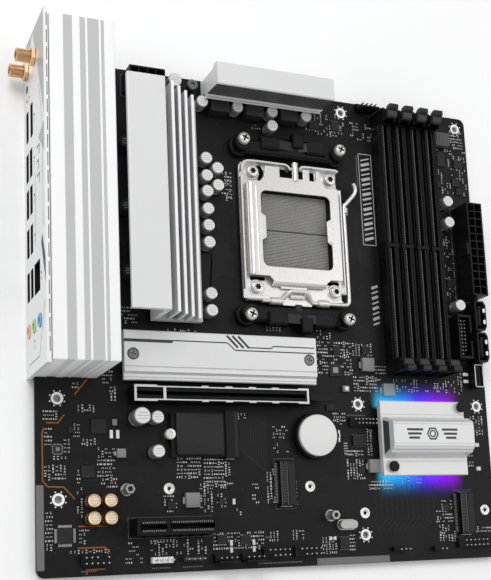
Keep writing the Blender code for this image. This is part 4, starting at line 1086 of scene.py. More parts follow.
def build_top_heatsink():
    x, _, up = spans("vrm_heatsink_top")
    back, front, lip, top = 1.5, 13.1, 0.5, up[1]
    outline = [(back, top - lip), (back + lip, top), (front - lip, top), (front, top - lip),
        (front, top - 1), (front - 0.2, top - 1.2), (11.9, 11.2), (12.7, 10.9), (12.7, 10.3),
        (11.9, 10.1), (11.9, 9.4), (front, 9.2), (front, 8.6), (10.6, 8.3), (10.6, up[0]),
        (2, up[0]), (2, 4.4), (3, 4.4), (3, top - 5), (back, top - 4.4)]
    body, grooves, tab = Shape(SATIN), Shape(), Shape()
    body.prism("x", outline, *x)
    for line in (top - 6, top - 9.2):
        grooves.box(wider(x, 1), (11, front + 1), around(line, 0.12))
    mesh = carve(body, grooves)
    inner, past = wider(x, -0.1), front + 1
    # Painted shade: the front face under the top slab is painted dark grey, and the base below the
    # fins and the gap between the two fins are painted darker.
    paint_within(mesh, DEEP, inner, (11.5, past), (11.3, top - 1.1))
    paint_within(mesh, PRINT_AND_SHADE, inner, (10, past), (-1, 8.5))
    paint_within(mesh, PRINT_AND_SHADE, inner, (10, past), (9.5, 10.15))
    show("top_heatsink", mesh, ["vrm_heatsink_top"], bevel=0.08)
    tab.rounded_box((x[1] - 0.2, x[1] + 4.6), (5, 8.6), (2.9, 4.2), 0.3, 2, mat=ANODISED)
    screw = [(0, 0.1), (1.2, 0.1), (1.2, 4.1), (2, 4.1), (2, 5.2), (1.6, 5.5), (0, 5.5)]
    tab.turned((x[1] + 2.4, 6.8), screw, 20, mat=SCREW)
    show("top_heatsink_tab", tab)


def star(centre, outer, inner, lobes, per_lobe=4):
    """The outline of a lobed screw recess."""
    points = []
    count = lobes * per_lobe
    for i in range(count):
        angle = 2 * math.pi * i / count
        reach = (outer + inner) / 2 + (outer - inner) / 2 * math.cos(lobes * angle)
        points.append((centre[0] + reach * math.cos(angle), centre[1] + reach * math.sin(angle)))
    return points


def cross(centre, arm, width, turn=0):
    points = [(arm, width), (width, width), (width, arm), (-width, arm), (-width, width),
        (-arm, width)]
    points += [(-a, -b) for a, b in points]
    c, s = math.cos(turn), math.sin(turn)
    return [(centre[0] + a * c - b * s, centre[1] + a * s + b * c) for a, b in points]


def build_m2_cover():
    x, down, up = spans("m2_heatsink")
    lip, low, top = 0.4, 7.6, up[1]
    outline = [(down[0], up[0]), (down[0], top - lip), (down[0] + lip, top), (149.3, top),
        (149.4, 8.35), (150, 8.35), (150.1, top), (151.9, top), (152.1, 8.3), (152.9, low),
        (154.2, low), (154.3, 7.1), (154.8, 7.1), (154.9, low), (down[1] - lip, low),
        (down[1], 7.2), (down[1], up[0])]
    body = Shape(ANODISED)
    body.prism("x", outline, *x)
    groove, slot, above, end = top - 0.35, top - 0.5, top + 1, x[1] - 1
    grooves = [[(x[0] - 1, 136.6), (64.2, 136.6), (62.6, 138.1), (x[0] - 1, 138.1)]]
    for route in ([(64, 136.8), (90.8, 136.8), (94.6, 140.3), (end, 140.3)],
            [(100.8, 138.7), (113.6, 138.7), (114.9, 137.6), (end, 137.6)]):
        grooves += [stroke(a, b, 0.6) for a, b in zip(route, route[1:])]
    slots, wells = Shape(), Shape()
    for i in range(3):
        slots.prism("up", stroke((90.6 + i * 2.9, 133.3), (96.2 + i * 2.9, 139), 1.15), slot,
            above)
    spots = [(43.8, 143.7), (134.1, 143.7)]
    for spot in spots:
        wells.prism("up", circle(spot, 2.9, 28), top - 1.8, above)
        wells.prism("up", circle(spot, 1.6, 16), up[0] - 1, top - 1.7)
    cuts = [prism_cutter("up", line, groove, above) for line in grooves]
    mesh = carve(body, *cuts, slots, wells)
    # Painted shade: the floors of the grooves and the slanted slots are painted dark.
    paint(mesh, PRINT_AND_SHADE, lambda px, pd, pu: pd < 141 and min(abs(pu - groove),
        abs(pu - slot)) < 0.02)
    show("m2_cover", mesh, ["m2_heatsink"])
    for index, spot in enumerate(spots, 1):
        head = Shape(DARK_STEEL)
        head.turned(spot, [(0, 0.4), (1.2, 0.4), (1.2, top - 1.5), (2.5, top - 1.5),
            (2.5, top - 0.45), (2.2, top - 0.1), (0, top - 0.1)], 28)
        recess = prism_cutter("up", cross(spot, 1.45, 0.34, 0.3), top - 0.9, above)
        show(f"m2_fixing_{index}", carve(head, recess), [f"m2_screw_{index}"])


def build_chipset():
    x, down, up = spans("chipset_heatsink")
    top, wing, axis = up[1], 6, 180.4
    outline = [(down[0], up[0]), (down[0], wing - 0.4), (down[0] + 0.4, wing), (171, wing),
        (171.4, wing + 0.6), (171.9, 10.2), (172.6, 10.6), (172.9, 12.2), (173.9, 13.4),
        (174.4, top), (186.4, top), (187.2, 13.4), (188, 13.2), (188.6, 12), (189.6, 11.6),
        (190.6, 8.4), (191.3, wing + 0.6), (192, wing), (down[1] - 0.4, wing),
        (down[1], wing - 0.4), (down[1], up[0])]
    body = Shape(ANODISED)
    body.prism("x", outline, *x)
    grooves = [prism_cutter("up", rect(wider(x, 1), around(line, 0.16)), floor, top + 1)
        for line, floor in ((175.4, top - 0.35), (185.4, top - 0.35), (169.6, wing - 0.3),
        (193.8, wing - 0.3))]
    end = [(x[0] - 1, wing + 0.05), (x[0] - 1, top + 1), (x[0] + 2.6, top + 1),
        (x[0] + 0.6, wing + 0.05)]
    mesh = carve(body, *grooves, prism_cutter("down", end, 170, 192.2))
    show("chipset_block", mesh, ["chipset_heatsink"], bevel=0.08)
    trim = Shape(PRINT_AND_SHADE)
    foot, head = (x[0] + 0.7, wing + 0.8), (x[0] + 2.45, top - 0.6)
    trim.skin([[(foot[0] - h, 172.8, foot[1]), (head[0] - h, 175, head[1]),
        (head[0] - h, 186, head[1]), (foot[0] - h, 190.2, foot[1])] for h in (0.1, -0.1)])
    flat = (top - 0.02, top + 0.02)
    centre = (middle(x), axis)
    for reach, width in ((3.6, 0.95), (2.1, 0.8)):
        outer, inner = circle(centre, reach, 6), circle(centre, reach - width, 6)
        for k in range(6):
            trim.prism("up", [outer[k], outer[k - 5], inner[k - 5], inner[k]], *flat)
    for side in (-1, 1):
        for i in range(3):
            start, line = centre[0] + side * (5.6 + i * 1.1), axis + (i - 1) * 2.1
            bar = stroke((start, line), (start + side * (9.5 - i * 1.6), line), 1.15)
            trim.prism("up", bar, *flat)
    show("chipset_trim", trim)
    pushpins = Shape(BLACK)
    for spot in ((222.3, 165.5), (179.5, 196.3)):
        pushpins.turned(spot, [(0, 5.8), (1.5, 5.8), (1.5, 7.2), (2.75, 7.4), (2.75, 8.2),
            (2.4, 8.7), (1.2, 8.8), (1, 8.5), (0, 8.5)], 28)
    show("push_pins", pushpins)
    base = Shape(CHIP_AND_SHADE)
    base.box(wider(x, -4), wider(down, -3), (0.05, up[0] - 0.05))
    show("chipset_package", base)


# ---- processor socket ----------------------------------------------------------------------

def window_outline():
    """The processor window: a round-cornered square with a finger tab on each side."""
    x0, x1, d0, d1 = 112.7, 151.7, 57.1, 96.4
    left = [(x0, 69), (x0 + 2.4, 70.6), (x0 + 2.4, 81.6), (x0, 83.2)]
    right = [(x1, 83.2), (x1 - 2.4, 81.6), (x1 - 2.4, 70.6), (x1, 69)]
    corners = rounded((x0, x1), (d0, d1), 3.2, 4)
    return corners[:10] + left[::-1] + corners[10:] + right[::-1]


def build_socket():
    build_socket_frame()
    build_load_plate()
    dress("socket_housing", BLACK, 0.15)
    dress("cpu_backplate", STEEL_X, 0.2)
    build_contact_field()
    build_lever()
    build_socket_screws()


def build_socket_frame():
    """The sheet round the socket and, on it, the raised edges, eyelets, knuckles and hooks."""
    x = spans("socket_frame")[0]
    low, top, wall, rim_top = 1.9, 3.4, 5.9, 6.8
    sheet = Shape(STEEL_X)
    sheet.prism("up", [(104, 42), (157.5, 42), (157.5, 51), (159, 53), (159, 108), (158, 112),
        (141.5, 112.4), (139.8, 115), (124.2, 115), (122.4, 112.4), (x[0] + 0.4, 112.4),
        (x[0], 111.6), (x[0], 44)], low, top)
    holes = [rounded((107.2, 155.8), (52.8, 100.8), 1),
        [(112.4, 43.2), (114.6, 42.6), (116.4, 46), (115.9, 49.5), (113.6, 52), (112.9, 50.8),
        (113.9, 47)], rounded((106.4, 114.6), (101.2, 103.2), 0.7),
        rounded((149.2, 156.2), (101.4, 103.4), 0.7), rounded((157.2, 159.1), (107.2, 111.4), 0.8),
        rounded((124.2, 145), (43.6, 49.6), 0.8)]
    mesh = carve(sheet, *(prism_cutter("up", outline, 0, 9) for outline in holes))
    # Painted shade: the sheet's faces below its top, hole walls and underside among them, are
    # painted black.
    paint_within(mesh, BLACK, (x[0] + 0.6, x[1] - 0.3), (42.4, 111.5), (0, top - 0.05))
    show("socket_sheet", mesh, ["socket_frame"], bevel=0.15)
    folds = Shape(STEEL_X)
    for route in ([(103.2, 108), (103.2, 50.2)], [(158.6, 108.2), (158.6, 52.4)]):
        folds.prism("up", ribbon(route, 0.75), 2.4, wall, STEEL_Y)
    for route in ([(103.3, 47.6), (103.5, 44.6), (104.6, 42.8), (106.6, 42.1), (110, 41.9),
            (127.4, 42.1), (129, 42.9), (130.2, 44.6)],
            [(135.4, 44), (136.6, 42.4), (138.6, 42.1), (156, 42.1), (157.6, 42.8)]):
        folds.prism("up", ribbon(route, 0.95), 2.4, rim_top)
    for centre in ((109.7, 46.9), (153.3, 46.9), (109.7, 106.9), (153.3, 106.9)):
        eyelet = [(3.1, top - 0.3), (4.3, top - 0.3), (4.3, top + 0.1), (3.9, top + 0.35),
            (3.1, top + 0.35), (3.1, top - 0.3)]
        folds.turned(centre, eyelet, 32)
    for span in ((116.8, 123.4), (143.4, 149.4)):
        folds.prism("x", bent((113.2, 3.6), 1.95, 1.2, -100, 190, 12), *span)
    hook = arc((112, 3), 1.5, -60, 90, 6) + [(110.8, 4.4), (110.8, 3.3), (111.8, 3.3)]
    folds.prism("x", hook, 104.4, 116)
    tongue = [(107, 3.3), (111.4, 3.3), (111.9, 4.6), (111.1, 5.1), (108.2, 4.9), (107, 4)]
    folds.prism("x", tongue, 127.6, 135.6)
    folds.prism("up", rounded((159.6, 164.6), (61.2, 64), 0.5), 1.2, 2.1, STEEL_Y)
    folds.prism("down", bent((161.5, 3.6), 2.05, 1.25, -90, 100, 10), 61.2, 64, STEEL_Y)
    show("socket_folds", folds, bevel=0.12)


def build_load_plate():
    low, top = spans("socket_load_plate")[2]
    plate = Shape(STEEL_Y)
    plate.prism("up", [(115.8, 43.9), (123.8, 43.9), (123.8, 49.3), (130.9, 49.3), (130.9, 43.5),
        (134.4, 43.5), (134.4, 49.3), (136.9, 49.3), (136.9, 43.9), (140.6, 43.9), (140.6, 49.6),
        (144.4, 49.6), (144.4, 43.9), (146.6, 43.9), (147.2, 49), (149.6, 52.4), (156.2, 52.4),
        (156.9, 53.2), (156.9, 101), (156.3, 101.6), (150, 101.6), (147.6, 103.4), (117.8, 103.4),
        (115.8, 101.4), (106.2, 101.4), (105.3, 100.6), (105.3, 54), (106.4, 52.6), (112.6, 52.4),
        (115.2, 49.4)], low, top)
    mesh = carve(plate, prism_cutter("up", window_outline(), low - 1, top + 1))
    show("load_plate_sheet", mesh, ["socket_load_plate"], "load_plate", 0.25)
    bends = Shape(STEEL_Y)
    left = arc((108, 5.6), 2.6, 90, 170, 8) + [(105.2, 4.4), (106.2, 4.4)]
    bends.prism("down", left + arc((108, 5.6), 1.6, 165, 90, 8), 53.6, 100.8)
    right = arc((156.1, 6.4), 0.85, 80, 0, 4) + [(156.95, 4.6), (156.1, 4.6)]
    bends.prism("down", right, 53.6, 100.8)
    bends.prism("x", bent((103.2, 4.4), 2.8, 1.9, 92, 8, 8), 117.9, 147.5)
    bends.prism("x", [(104.6, 4.3), (107, 4.3), (107, 5.1), (105.4, 5.1)], 122.5, 136.9)
    bends.prism("down", arc((132.65, 6.6), 1.7, 0, 180, 10), 40.9, 50.6)
    bends.prism("down", arc((110.4, 6.55), 0.75, 0, 180, 6), 55, 99)
    for hand, edge in ((1, 112.7), (-1, 151.7)):
        outer, inner = edge - hand * 0.6, edge + hand * 1.6
        tab = [(outer, 69.6), (inner, 71.2), (inner, 81.2), (outer, 82.6)]
        bends.prism("up", tab, top - 0.1, top + 0.35)
    show("load_plate_bends", bends, body="load_plate", bevel=0.1)


def build_contact_field():
    """Rows of leaning contacts, in two halves with a gap between them."""
    x, down, _ = spans("socket_housing")
    cx, cd = middle(x), middle(down)
    floor, half, count = 2, 19.8, 52
    pitch = 2 * half / count
    field = Shape(CONTACT)
    base = (floor - 0.1, floor + 0.25)
    field.box(around(cx, half + 0.2), around(cd, half + 0.2), base, PRINT_AND_SHADE)
    for i in range(count):
        for j in range(count):
            if j == count // 2 - 1:
                continue
            px, pd = cx - half + (i + 0.5) * pitch, cd - half + (j + 0.5) * pitch
            foot = rect(around(px, 0.3), around(pd, 0.22))
            tip = rect((px - 0.02, px + 0.3), (pd - 0.2, pd + 0.02))
            field.skin([[(a, b, floor + h) for a, b in ring]
                for ring, h in ((foot, 0.2), (tip, 0.8))])
    show("socket_contacts", field)


def build_lever():
    crank = [(112.5, 113.2, 3.6), (117, 113.2, 3.6), (121.6, 113.2, 3.6), (123.2, 112.4, 3.9),
        (126, 109.4, 6), (127.6, 108.5, 6.4), (131.4, 108.4, 6.4), (135.2, 108.5, 6.4),
        (136.8, 109.4, 6), (139.6, 112.4, 3.9), (141.2, 113.2, 3.6), (150, 113.2, 3.6),
        (158.6, 113.2, 3.6), (160.7, 112.4, 3.6)]
    arm = [(161.5, down, 3.6) for down in (110.3, 100, 80, 61.4)]
    handle = [(162.6, 59, 3.95), (164.8, 56.4, 4.4), (167.2, 53.6, 4.9), (168.1, 51.4, 5.1),
        (167.9, 49.4, 5.2), (167, 47.7, 5.2)]
    lever = Shape(STEEL_Y)
    lever.tube(smooth_path(crank + arm + handle), 1.05, 16)
    show("load_lever", lever, ["socket_lever"], "lever")


def build_socket_screws():
    """Lobed heads on the socket and cross-headed ones on the cooler brackets."""
    for index in range(1, 5):
        x, down, up = spans(f"socket_screw_{index}")
        spot, radius, top = (middle(x), middle(down)), (x[1] - x[0]) / 2, 6
        head = [(0, up[0]), (1.5, up[0]), (1.5, 3.75), (radius, 3.75), (radius, top - 0.7),
            (radius - 0.25, top - 0.2), (radius - 0.7, top), (0, top)]
        recess = prism_cutter("up", star(spot, 1.75, 1.15, 6, 6), top - 1.2, top + 1)
        screw_head(f"torx_screw_{index}", f"socket_screw_{index}", spot, head, recess, 3.75)
        x, down, up = spans(f"bracket_screw_{index}")
        spot, radius, top = (middle(x), middle(down)), (x[1] - x[0]) / 2, 11.3
        head = [(0, up[0]), (1.2, up[0]), (1.2, 8.7), (radius, 8.7), (radius, 9.9),
            (radius - 0.3, top - 0.7), (radius - 1, top - 0.15), (radius - 1.8, top), (0, top)]
        recess = prism_cutter("up", cross(spot, 1.9, 0.45, 0.4), top - 1.6, top + 1)
        screw_head(f"pan_screw_{index}", f"bracket_screw_{index}", spot, head, recess, 8.7)


def screw_head(name, node, spot, profile, recess, under):
    """A turned screw whose recess is painted dark inside: painted shade."""
    head = Shape(SCREW)
    head.turned(spot, profile, 32)
    mesh = carve(head, recess)
    top = profile[-1][1]
    # Painted shade: the faces inside the recess take the dark chip colour.
    paint(mesh, CHIP_AND_SHADE, lambda px, pd, pu: under < pu < top - 0.1
        and math.hypot(px - spot[0], pd - spot[1]) < 1.85)
    show(name, mesh, [node])


def build_brackets():
    """The cooler brackets: a bar with bosses at its ends, two blocks and a clip lug."""
    for end, side in (("top", -1), ("bottom", 1)):
        node = f"cooler_bracket_{end}"
        x, down, _ = spans(node)
        cx = middle(x)
        inner = down[1] if side < 0 else down[0]
        bar = Shape(BLACK)

        def block(sides, near, far, low, top, inset):
            layers = ((0, low), (0, top - inset), (inset, top))
            bar.skin([[(a, inner + side * b, h)
                for a, b in rect(wider(sides, -cut), (near + cut, far - cut))]
                for cut, h in layers])

        profile = ((0, 0.15), (0, 4.2), (1.4, 5.5), (6.6, 5.5), (8, 4.2), (8, 0.15))
        bar.prism("x", [(inner + side * out, high) for out, high in profile], *around(cx, 27))
        for hand in (-1, 1):
            boss = [(1.75, 0.15), (5.6, 0.15), (5.6, 2.7), (5.1, 3.4), (4.3, 3.5), (4.1, 4),
                (4.1, 7.8), (3.6, 8.4), (1.75, 8.4), (1.75, 0.15)]
            bar.turned((cx + hand * 27, inner + side * 4.4), boss, 40)
        block((cx - 16.5, cx - 6), 2.8, 9.6, 1.5, 7.4, 0.9)
        block((cx + 9, cx + 20), 2.8, 9.6, 1.5, 7.4, 0.9)
        block((cx + 1.5, cx + 7.5), 5.4, 12.9, 2.4, 7.4, 0.7)
        # Painted highlight: the sloped ramps take a lighter grey than the black bar, standing for
        # lit facets.
        for first, second, high in ((-6.9, 1.8, 6.9), (20.8, 14, 5.9), (9.6, 5, 6.9)):
            ramp = [(cx + first, 5.2), (cx + first, high), (cx + second, 5.52), (cx + second, 5.2)]
            bar.prism("down", ramp, inner + side * 3.6, inner + side * 8.4, GREY)
        show(f"bracket_{end}", bar, [node], bevel=0.15)
    tab = Shape(GREY)
    tab.prism("up", [(129.4, 114.9), (133.6, 114.9), (132.8, 117.4), (130.2, 117.4)], 5.3, 5.7)
    tab.box((129.4, 133.6), (117, 118.2), (5.2, 5.7))
    show("bracket_details", tab, bevel=0.15)


# ---- slots and connectors ------------------------------------------------------------------

def build_dimm_latches():
    """Ejector latches: a thin leg, a broad cap and a step that reaches over the module's edge."""
    for end, outward in (("top", -1), ("bottom", 1)):
        for index in range(1, 5):
            node = f"dimm_latch_{end}_{index}"
            x, down, up = spans(node)
            outer = down[0] if outward < 0 else down[1]
            top, latch = up[1], Shape(GREY)

            def add(half, mat, *profile):
                outline = [(outer + outward * (out - 2.5), high) for out, high in profile]
                latch.prism("x", outline, *around(middle(x), half), mat)

            add(2, GREY, (-3.1, 1.7), (1.2, 1.7), (1.5, 9), (1.5, 15), (-2.2, 15), (-2.2, 6.2),
                (-3.1, 5))
            pivot = circle((outer - outward * 2.5, 3.7), 0.85, 14)
            latch.prism("x", pivot, *around(middle(x), 3.5))
            add(2.45, GREY, (-0.7, 14.9), (1.5, 14.9), (2.5, 16.4), (2.5, top - 0.5), (2, top),
                (0.2, top), (-0.7, top - 0.9))
            add(2.65, LATCH, (-4.1, 15), (-0.6, 14.8), (-0.6, 17.9), (-3.4, 17.2), (-4.1, 16.4))
            show(f"latch_{end}_{index}", latch, [node], node, 0.2)


def build_dimm_slots():
    key, key_half, end_block = 80.5, 0.9, 7.2
    for index in range(1, 5):
        x, down, up = spans(f"dimm_slot_{index}")
        cx = middle(x)
        body = wider(down, -end_block)
        side = [(-3.7, 0.3), (-3.7, 7.4), (-3.3, 7.8), (-3.3, 9), (-3.1, 9.3), (-2.2, 9.3),
            (-2, 8.9), (-1.15, 8.9), (-0.95, 8.6), (-0.95, 3.6)]
        outline = [(cx + a, b) for a, b in side] + [(cx - a, b) for a, b in reversed(side)]
        slot = Shape(SLOT_BLACK)
        for start, end in ((body[0], key - key_half), (key + key_half, body[1])):
            slot.prism("down", outline, start, end)
        slot.box(around(cx, 3.7), around(key, key_half), (0.3, 9.3))
        for end, inward in ((down[0], 1), (down[1], -1)):
            near, far = sorted((end, end + inward * end_block))
            cheek = [(near, 0.3), (far, 0.3), (far, up[1] - 0.8), (far - 0.8, up[1]),
                (near + 0.8, up[1]), (near, up[1] - 0.8)]
            for wall in flanks(cx, 2.6, 3.7):
                slot.prism("x", cheek, *wall)
            stop = sorted((end + inward * 6.4, end + inward * 7.3))
            slot.box(around(cx, 2.65), stop, (0.3, 9.3))
        for i in range(144):
            spot = body[0] + 1 + i * 0.874
            if abs(spot - key) < 1.6 or spot > body[1] - 0.8:
                continue
            for row, mat in zip(flanks(cx, 1.15, 1.6), (LEADS, GREY)):
                slot.box(row, around(spot, 0.2), (8.75, 8.96), mat)
        for i in range(15):
            rib = body[0] + 4 + i * 8.6
            for wall in flanks(cx, 3.6, 3.85):
                slot.box(wall, (rib, rib + 0.8), (0.4, 7.2))
        name = f"memory_slot_{index}"
        show(name, slot, [f"dimm_slot_{index}"], bevel=0.06)
    build_dimm_latches()


def walls(shape, x, down, thick, up, mat):
    """Four walls along the inside of a rectangle's edges."""
    for edge in ((down[0], down[0] + thick), (down[1] - thick, down[1])):
        shape.box(x, edge, up, mat)
    for edge in ((x[0], x[0] + thick), (x[1] - thick, x[1])):
        shape.box(edge, down, up, mat)


def ridge_contacts(shape, x, centre, top, reach, pitch, mat):
    for i in range(int((x[1] - x[0]) / pitch)):
        spot = x[0] + (i + 0.5) * pitch
        for row in flanks(centre, reach, reach + 0.75):
            shape.box(around(spot, 0.22), row, (top - 0.1, top + 0.03), mat)


def build_graphics_slot():
    """The armoured slot: a plastic core, its contacts and a steel sheath with turned-down tabs."""
    x, down, up = spans("pcie_long_slot")
    centre, top, end = middle(down), up[1], x[1] - 4.6
    core, trench = Shape(SLOT_BLACK), Shape()
    core.box((x[0] + 0.5, end - 0.5), around(centre, 3.2), (0.3, top - 0.9))
    for part in ((x[0] + 1.7, 57), (58.6, end - 1.7)):
        trench.box(part, around(centre, 0.95), (3, top + 1))
    show("graphics_slot_core", carve(core, trench))
    contacts = Shape()
    for part in ((x[0] + 3, 56.4), (59.4, end - 2.4)):
        ridge_contacts(contacts, part, centre, top - 0.95, 1.1, 1, LEADS)
    show("graphics_slot_contacts", contacts)
    sheath = Shape(ARMOUR)
    hole, edge, tab = 2.7, 3.3, 3.8
    tabs = [(x[0], x[0] + 11), (76, 79.4), (88, 91.6), (100, 103.6), (112, 115.6), (126, end)]
    for hand, wall in zip((-1, 1), flanks(centre, edge, 3.65)):
        ring = [(x[0], centre + hand * hole), (end, centre + hand * hole)]
        for a, b in reversed(tabs):
            ring += [(b, centre + hand * edge), (b, centre + hand * tab), (a, centre + hand * tab),
                (a, centre + hand * edge)]
        sheath.prism("up", ring, top - 0.5, top)
        sheath.box((x[0], end), wall, (0.3, top - 0.6), SLOT_BLACK)
        for span in tabs:
            sheath.box(span, wall, (top - 2.2, top - 0.3))
    across = around(centre, hole + 0.1)
    for span in ((x[0], x[0] + 1.1), (end - 1.1, end)):
        sheath.box(span, across, (top - 0.5, top))
    sheath.box((x[0], x[0] + 0.4), around(centre, 3.5), (0.5, top - 0.55), SLOT_BLACK)
    sheath.box((end - 0.4, end), around(centre, 3.5), (0.5, top - 0.3))
    sheath.box((57.1, 58.5), across, (top - 0.5, top - 0.02))
    for arm in flanks(centre, 2.2, edge):
        sheath.box((end - 0.3, x[1]), arm, (0.4, 6), SLOT_BLACK)
    show("graphics_slot_armour", sheath, ["pcie_long_slot"], bevel=0.1)
    dress("pcie_slot_latch", BLACK, 0.3)


def build_short_slot():
    x, down, up = spans("pcie_short_slot")
    dress("pcie_short_slot", SLOT_BLACK, 0.15)
    rows = Shape(SLOT_BLACK)
    for part in ((x[0] + 2.4, 56.4), (59.4, x[1] - 2)):
        ridge_contacts(rows, part, middle(down), up[1] + 0.02, 1.5, 1, LEADS)
    edge = down[1]
    for i in range(6):
        spot = x[0] + 6 + i * 5.6
        rib = [(edge - 0.1, 0.3), (edge + 0.9, 0.3), (edge + 0.5, 6), (edge - 0.1, 7.5)]
        rows.prism("x", rib, spot, spot + 1.3)
    show("short_slot_details", rows)


def build_modules():
    """The sockets for cards, the wireless card and its screw."""
    details = Shape(SOLDER)
    for node in ("m2_socket_left", "m2_socket_right", "wifi_socket"):
        dress(node, BLACK, 0.12)
        x, down, _ = spans(node)
        is_open = node != "wifi_socket"
        for i in range(int((down[1] - down[0] - 2) / 0.75)):
            spot = down[0] + 1.2 + i * 0.75
            details.box((x[1] - 0.1, x[1] + 1), around(spot, 0.15), (0.02, 0.3))
            if is_open:
                details.box((x[0] - 1, x[0] + 0.6), around(spot, 0.15), (0.02, 0.55))
                details.box((x[0] + 0.9, x[0] + 3.2), around(spot, 0.17), (4.36, 4.43), PRINT_AND_SHADE)
        for end in (down[0] - 0.2, down[1] - 0.9):
            details.box((x[0] + 0.8, x[1] - 1.2), (end, end + 1.1), (0.05, 1.6))
        details.box((x[0] + 4.4, x[1] - 0.6), wider(down, -0.8), (4.36, 4.5), CHIP_AND_SHADE)
        if is_open:
            for rail in (x[0] + 0.3, x[0] + 3.5):
                details.box((rail, rail + 0.3), wider(down, -0.6), (4.36, 4.46), PIN)
    show("socket_leads", details)
    x, down, up = spans("wifi_module")
    card, top = Shape(MASK), up[1]
    outline = rect(x, down) + [(x[0], 182.1)] + arc((x[0], 180.2), 1.9, 90, -90, 8)
    card.prism("up", outline, up[0], up[0] + 0.8)
    card.rounded_box((65, 88.6), (170.4, 190), (up[0] + 0.7, top), 0.3, mat=CHIP_AND_SHADE)
    for radius in (7.6, 4.4):
        inner = radius - 0.35
        ring = [(inner, top - 0.03), (radius, top), (radius, top + 0.05), (inner, top + 0.05),
            (inner, top - 0.03)]
        card.turned((77, 180.2), ring, 40, mat=GREY)
    show("wireless_card", card, ["wifi_module"])
    screw = Shape(SCREW)
    screw.turned((62.4, 180.2), [(0, 0.05), (2.2, 0.05), (2.2, 2.4), (1.4, 2.5), (1.4, 3.4),
        (2.6, 3.4), (2.7, 3.8), (2.3, 4.5), (1.2, 4.6), (0.8, 4.1), (0, 4.1)], 28)
    show("wireless_screw", screw)


def build_sata_port(node, inside):
    """A hollow socket, and in the shared shape its tongue, contacts and two white ovals."""
    x, down, up = spans(node)
    (left, right), (near, far) = x, down
    shell = Shape(BLACK)
    shell.prism("up", [(left, near + 0.4), (left + 0.4, near), (right - 1.4, near),
        (right, near + 2.2), (right, far - 2.2), (right - 1.4, far), (left + 0.4, far),
        (left, far - 0.4)], *up)
    well = prism_cutter("up", [(left + 0.9, near + 1), (right - 2, near + 1),
        (right - 1, near + 2.8), (right - 1, far - 2.8), (right - 2, far - 1),
        (left + 0.9, far - 1)], up[0] + 2.2, up[1] + 1)
    name = node.replace("port", "socket")
    show(name, carve(shell, well), [node], bevel=0.12)
    tongue = [(left + 2.8, near + 2.6), (left + 4.9, near + 2.6), (left + 4.9, near + 3.7),
        (left + 3.9, near + 3.7), (left + 3.9, far - 2.8), (left + 2.8, far - 2.8)]
    inside.prism("up", tongue, 2, 9, BLACK)
    for i in range(7):
        inside.box(around(left + 2.75, 0.07), around(near + 4.6 + i * 1.27, 0.3), (4, 8.6), LEADS)
    for spot in (near + 5.2, far - 4.8):
        oval = rounded((right - 2.1, right - 0.7), around(spot, 1.2), 0.68, 5)
        inside.prism("up", oval, up[1] - 0.3, up[1] + 0.02, WHITE_PLASTIC)


def build_connectors():
    for node in ("atx_power_connector", "cpu_power_connector", "usb3_header"):
        dress(node, BLACK, 0.18)
    dress("usbc_header", BLACK, 0.15)
    inside = Shape(LEADS)
    pitch = 4.2
    for node, columns, rows in (("atx_power_connector", 2, 12), ("cpu_power_connector", 4, 2)):
        x, down, _ = spans(node)
        cx, cd = x[1] - (columns * pitch + 1.2) / 2, middle(down)
        for i in range(columns):
            for j in range(rows):
                px, pd = cx + (i - (columns - 1) / 2) * pitch, cd + (j - (rows - 1) / 2) * pitch
                inside.box(around(px, 0.55), around(pd, 0.55), (2.9, 8.2), GOLD_DARK)
    x, down, _ = spans("usb3_header")
    for i in range(10):
        for hand in (-1, 1) if i < 9 else (-1,):
            px, pd = middle(x) + hand, middle(down) - 9 + i * 2
            inside.box(around(px, 0.28), around(pd, 0.28), (1.9, 6.6))
    build_sata_port("sata_port_1", inside)
    build_sata_port("sata_port_2", inside)
    show("connector_pins", inside)
    x, down, up = spans("usbc_header")
    shell = Shape(BLACK)
    walls(shell, x, down, 0.4, (up[1] - 0.6, up[1] + 0.02), CAN_TOP)
    shell.box(wider(x, -0.95), wider(down, -0.95), (1.5, 5.2))
    show("front_port_details", shell)
    feet = Shape(BLACK)
    x, down, _ = spans("atx_power_connector")
    for i in range(12):
        foot = rounded((x[0] + 0.2, x[0] + 0.9), around(down[0] + 2.7 + i * pitch, 1.2), 0.3)
        feet.prism("up", foot, 0.3, 0.5)
    show("power_feet", feet)


def build_coin_cell():
    x, down, up = spans("battery_holder")
    centre, outer, rim = (middle(x), middle(down)), (x[1] - x[0]) / 2, up[1]
    radius = min(10.3, outer - 1.3)
    holder = Shape(BLACK)
    holder.turned(centre, [(0, up[0]), (outer, up[0]), (outer, rim - 0.4), (outer - 0.3, rim),
        (radius + 0.5, rim), (radius + 0.25, rim - 0.5), (radius + 0.2, 2.3), (0, 2.3)], 64)
    show("cell_holder", holder, ["battery_holder"])
    low, top = spans("coin_cell")[2]
    cell = Shape(CAN_TOP)
    cell.turned(centre, [(0, low), (radius - 1.6, low), (radius - 1, low + 0.25),
        (radius - 0.6, low + 0.5), (radius, low + 0.8), (radius, top - 0.45),
        (radius - 0.15, top - 0.12), (radius - 0.45, top), (0, top)], 72)
    show("coin_battery", cell, ["coin_cell"], "cell")
    clip = Shape(SCREW)
    edge = centre[0] + outer
    clip.box((edge + 0.2, edge + 3), around(centre[1], 1.6), (0.05, 0.5))
    clip.box((edge + 0.2, edge + 0.7), around(centre[1], 1.2), (0.4, 5))
    for ear in flanks(centre[1], 1.4, 3):
        clip.box((edge + 1, edge + 1.8), ear, (0.05, 2.6))
    show("cell_clip", clip, bevel=0.1)


# ---- studio --------------------------------------------------------------------------------

def area_light(name, spot, target, size, power):
    data = bpy.data.lights.new(name, "AREA")
    data.shape = "DISK"
    data.size = size
    data.energy = power
    lamp = bpy.data.objects.new(name, data)
    lamp.location = spot
    lamp.rotation_euler = (Vector(target) - Vector(spot)).to_track_quat("-Z", "Y").to_euler()
    bpy.context.scene.collection.objects.link(lamp)


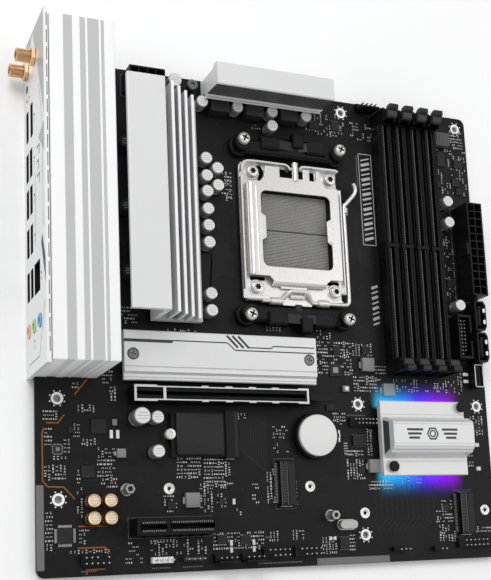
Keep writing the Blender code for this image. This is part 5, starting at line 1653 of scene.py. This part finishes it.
def build_studio():
    bm = bmesh.new()
    bmesh.ops.create_grid(bm, x_segments=1, y_segments=1, size=20)
    mesh = bpy.data.meshes.new("floor")
    bm.to_mesh(mesh)
    bm.free()
    mesh.materials.append(finish("floor_paint", (0.97, 0.97, 0.97), 0.8, 0, 0.005, 5, 0.02,
        shine=0.1))
    link("floor", mesh)
    world = bpy.data.worlds.new("studio")
    world.use_nodes = True
    tree = world.node_tree
    coords = wire(tree, "TexCoord").outputs["Generated"]
    height = wire(tree, "SeparateXYZ", Vector=coords).outputs[2]
    sky = tree.nodes["Background"]
    tree.links.new(blended(tree, ranged(tree, height, 0, 0.8, 0, 1), (0.62, 0.63, 0.65, 1),
        (1, 1, 1, 1)), sky.inputs["Color"])
    sky.inputs["Strength"].default_value = 0.66
    bpy.context.scene.world = world
    bpy.context.scene.view_settings.view_transform = "Standard"
    area_light("key", (-0.45, 0.6, 1), (0, 0, 0), 0.7, 6)
    area_light("fill", (0.7, 0.1, 0.9), (0, 0, 0), 0.8, 1.5)


def build_camera():
    """The picture's viewpoint: above the rear edge, the top edge running down to the right."""
    eye, aim = place(*EYE), place(*AIM)
    ahead = (aim - eye).normalized()
    right = ahead.cross(Vector(LEAN)).normalized()
    above = right.cross(ahead)
    data = bpy.data.cameras.new("camera")
    data.sensor_fit = "VERTICAL"
    data.sensor_height = 36
    data.lens = LENS
    data.shift_y = LENS_SHIFT
    camera = bpy.data.objects.new("camera", data)
    turn = camera.matrix_world.copy()
    for row in range(3):
        turn[row][:] = right[row], above[row], -ahead[row], eye[row]
    camera.matrix_world = turn
    bpy.context.scene.collection.objects.link(camera)
    bpy.context.scene.camera = camera


dress("pcb", MASK, 0)
for step in (build_silkscreen, build_traces, build_hole_pads, build_small_parts, build_chips,
        build_capacitors, build_inductors, build_headers, build_fittings, build_io_cover,
        build_shield, build_ports, build_jacks, build_antennas, build_left_heatsink,
        build_top_heatsink, build_m2_cover, build_chipset, build_socket, build_brackets,
        build_dimm_slots, build_graphics_slot, build_short_slot, build_modules, build_connectors,
        build_coin_cell, build_studio, build_camera):
    step()
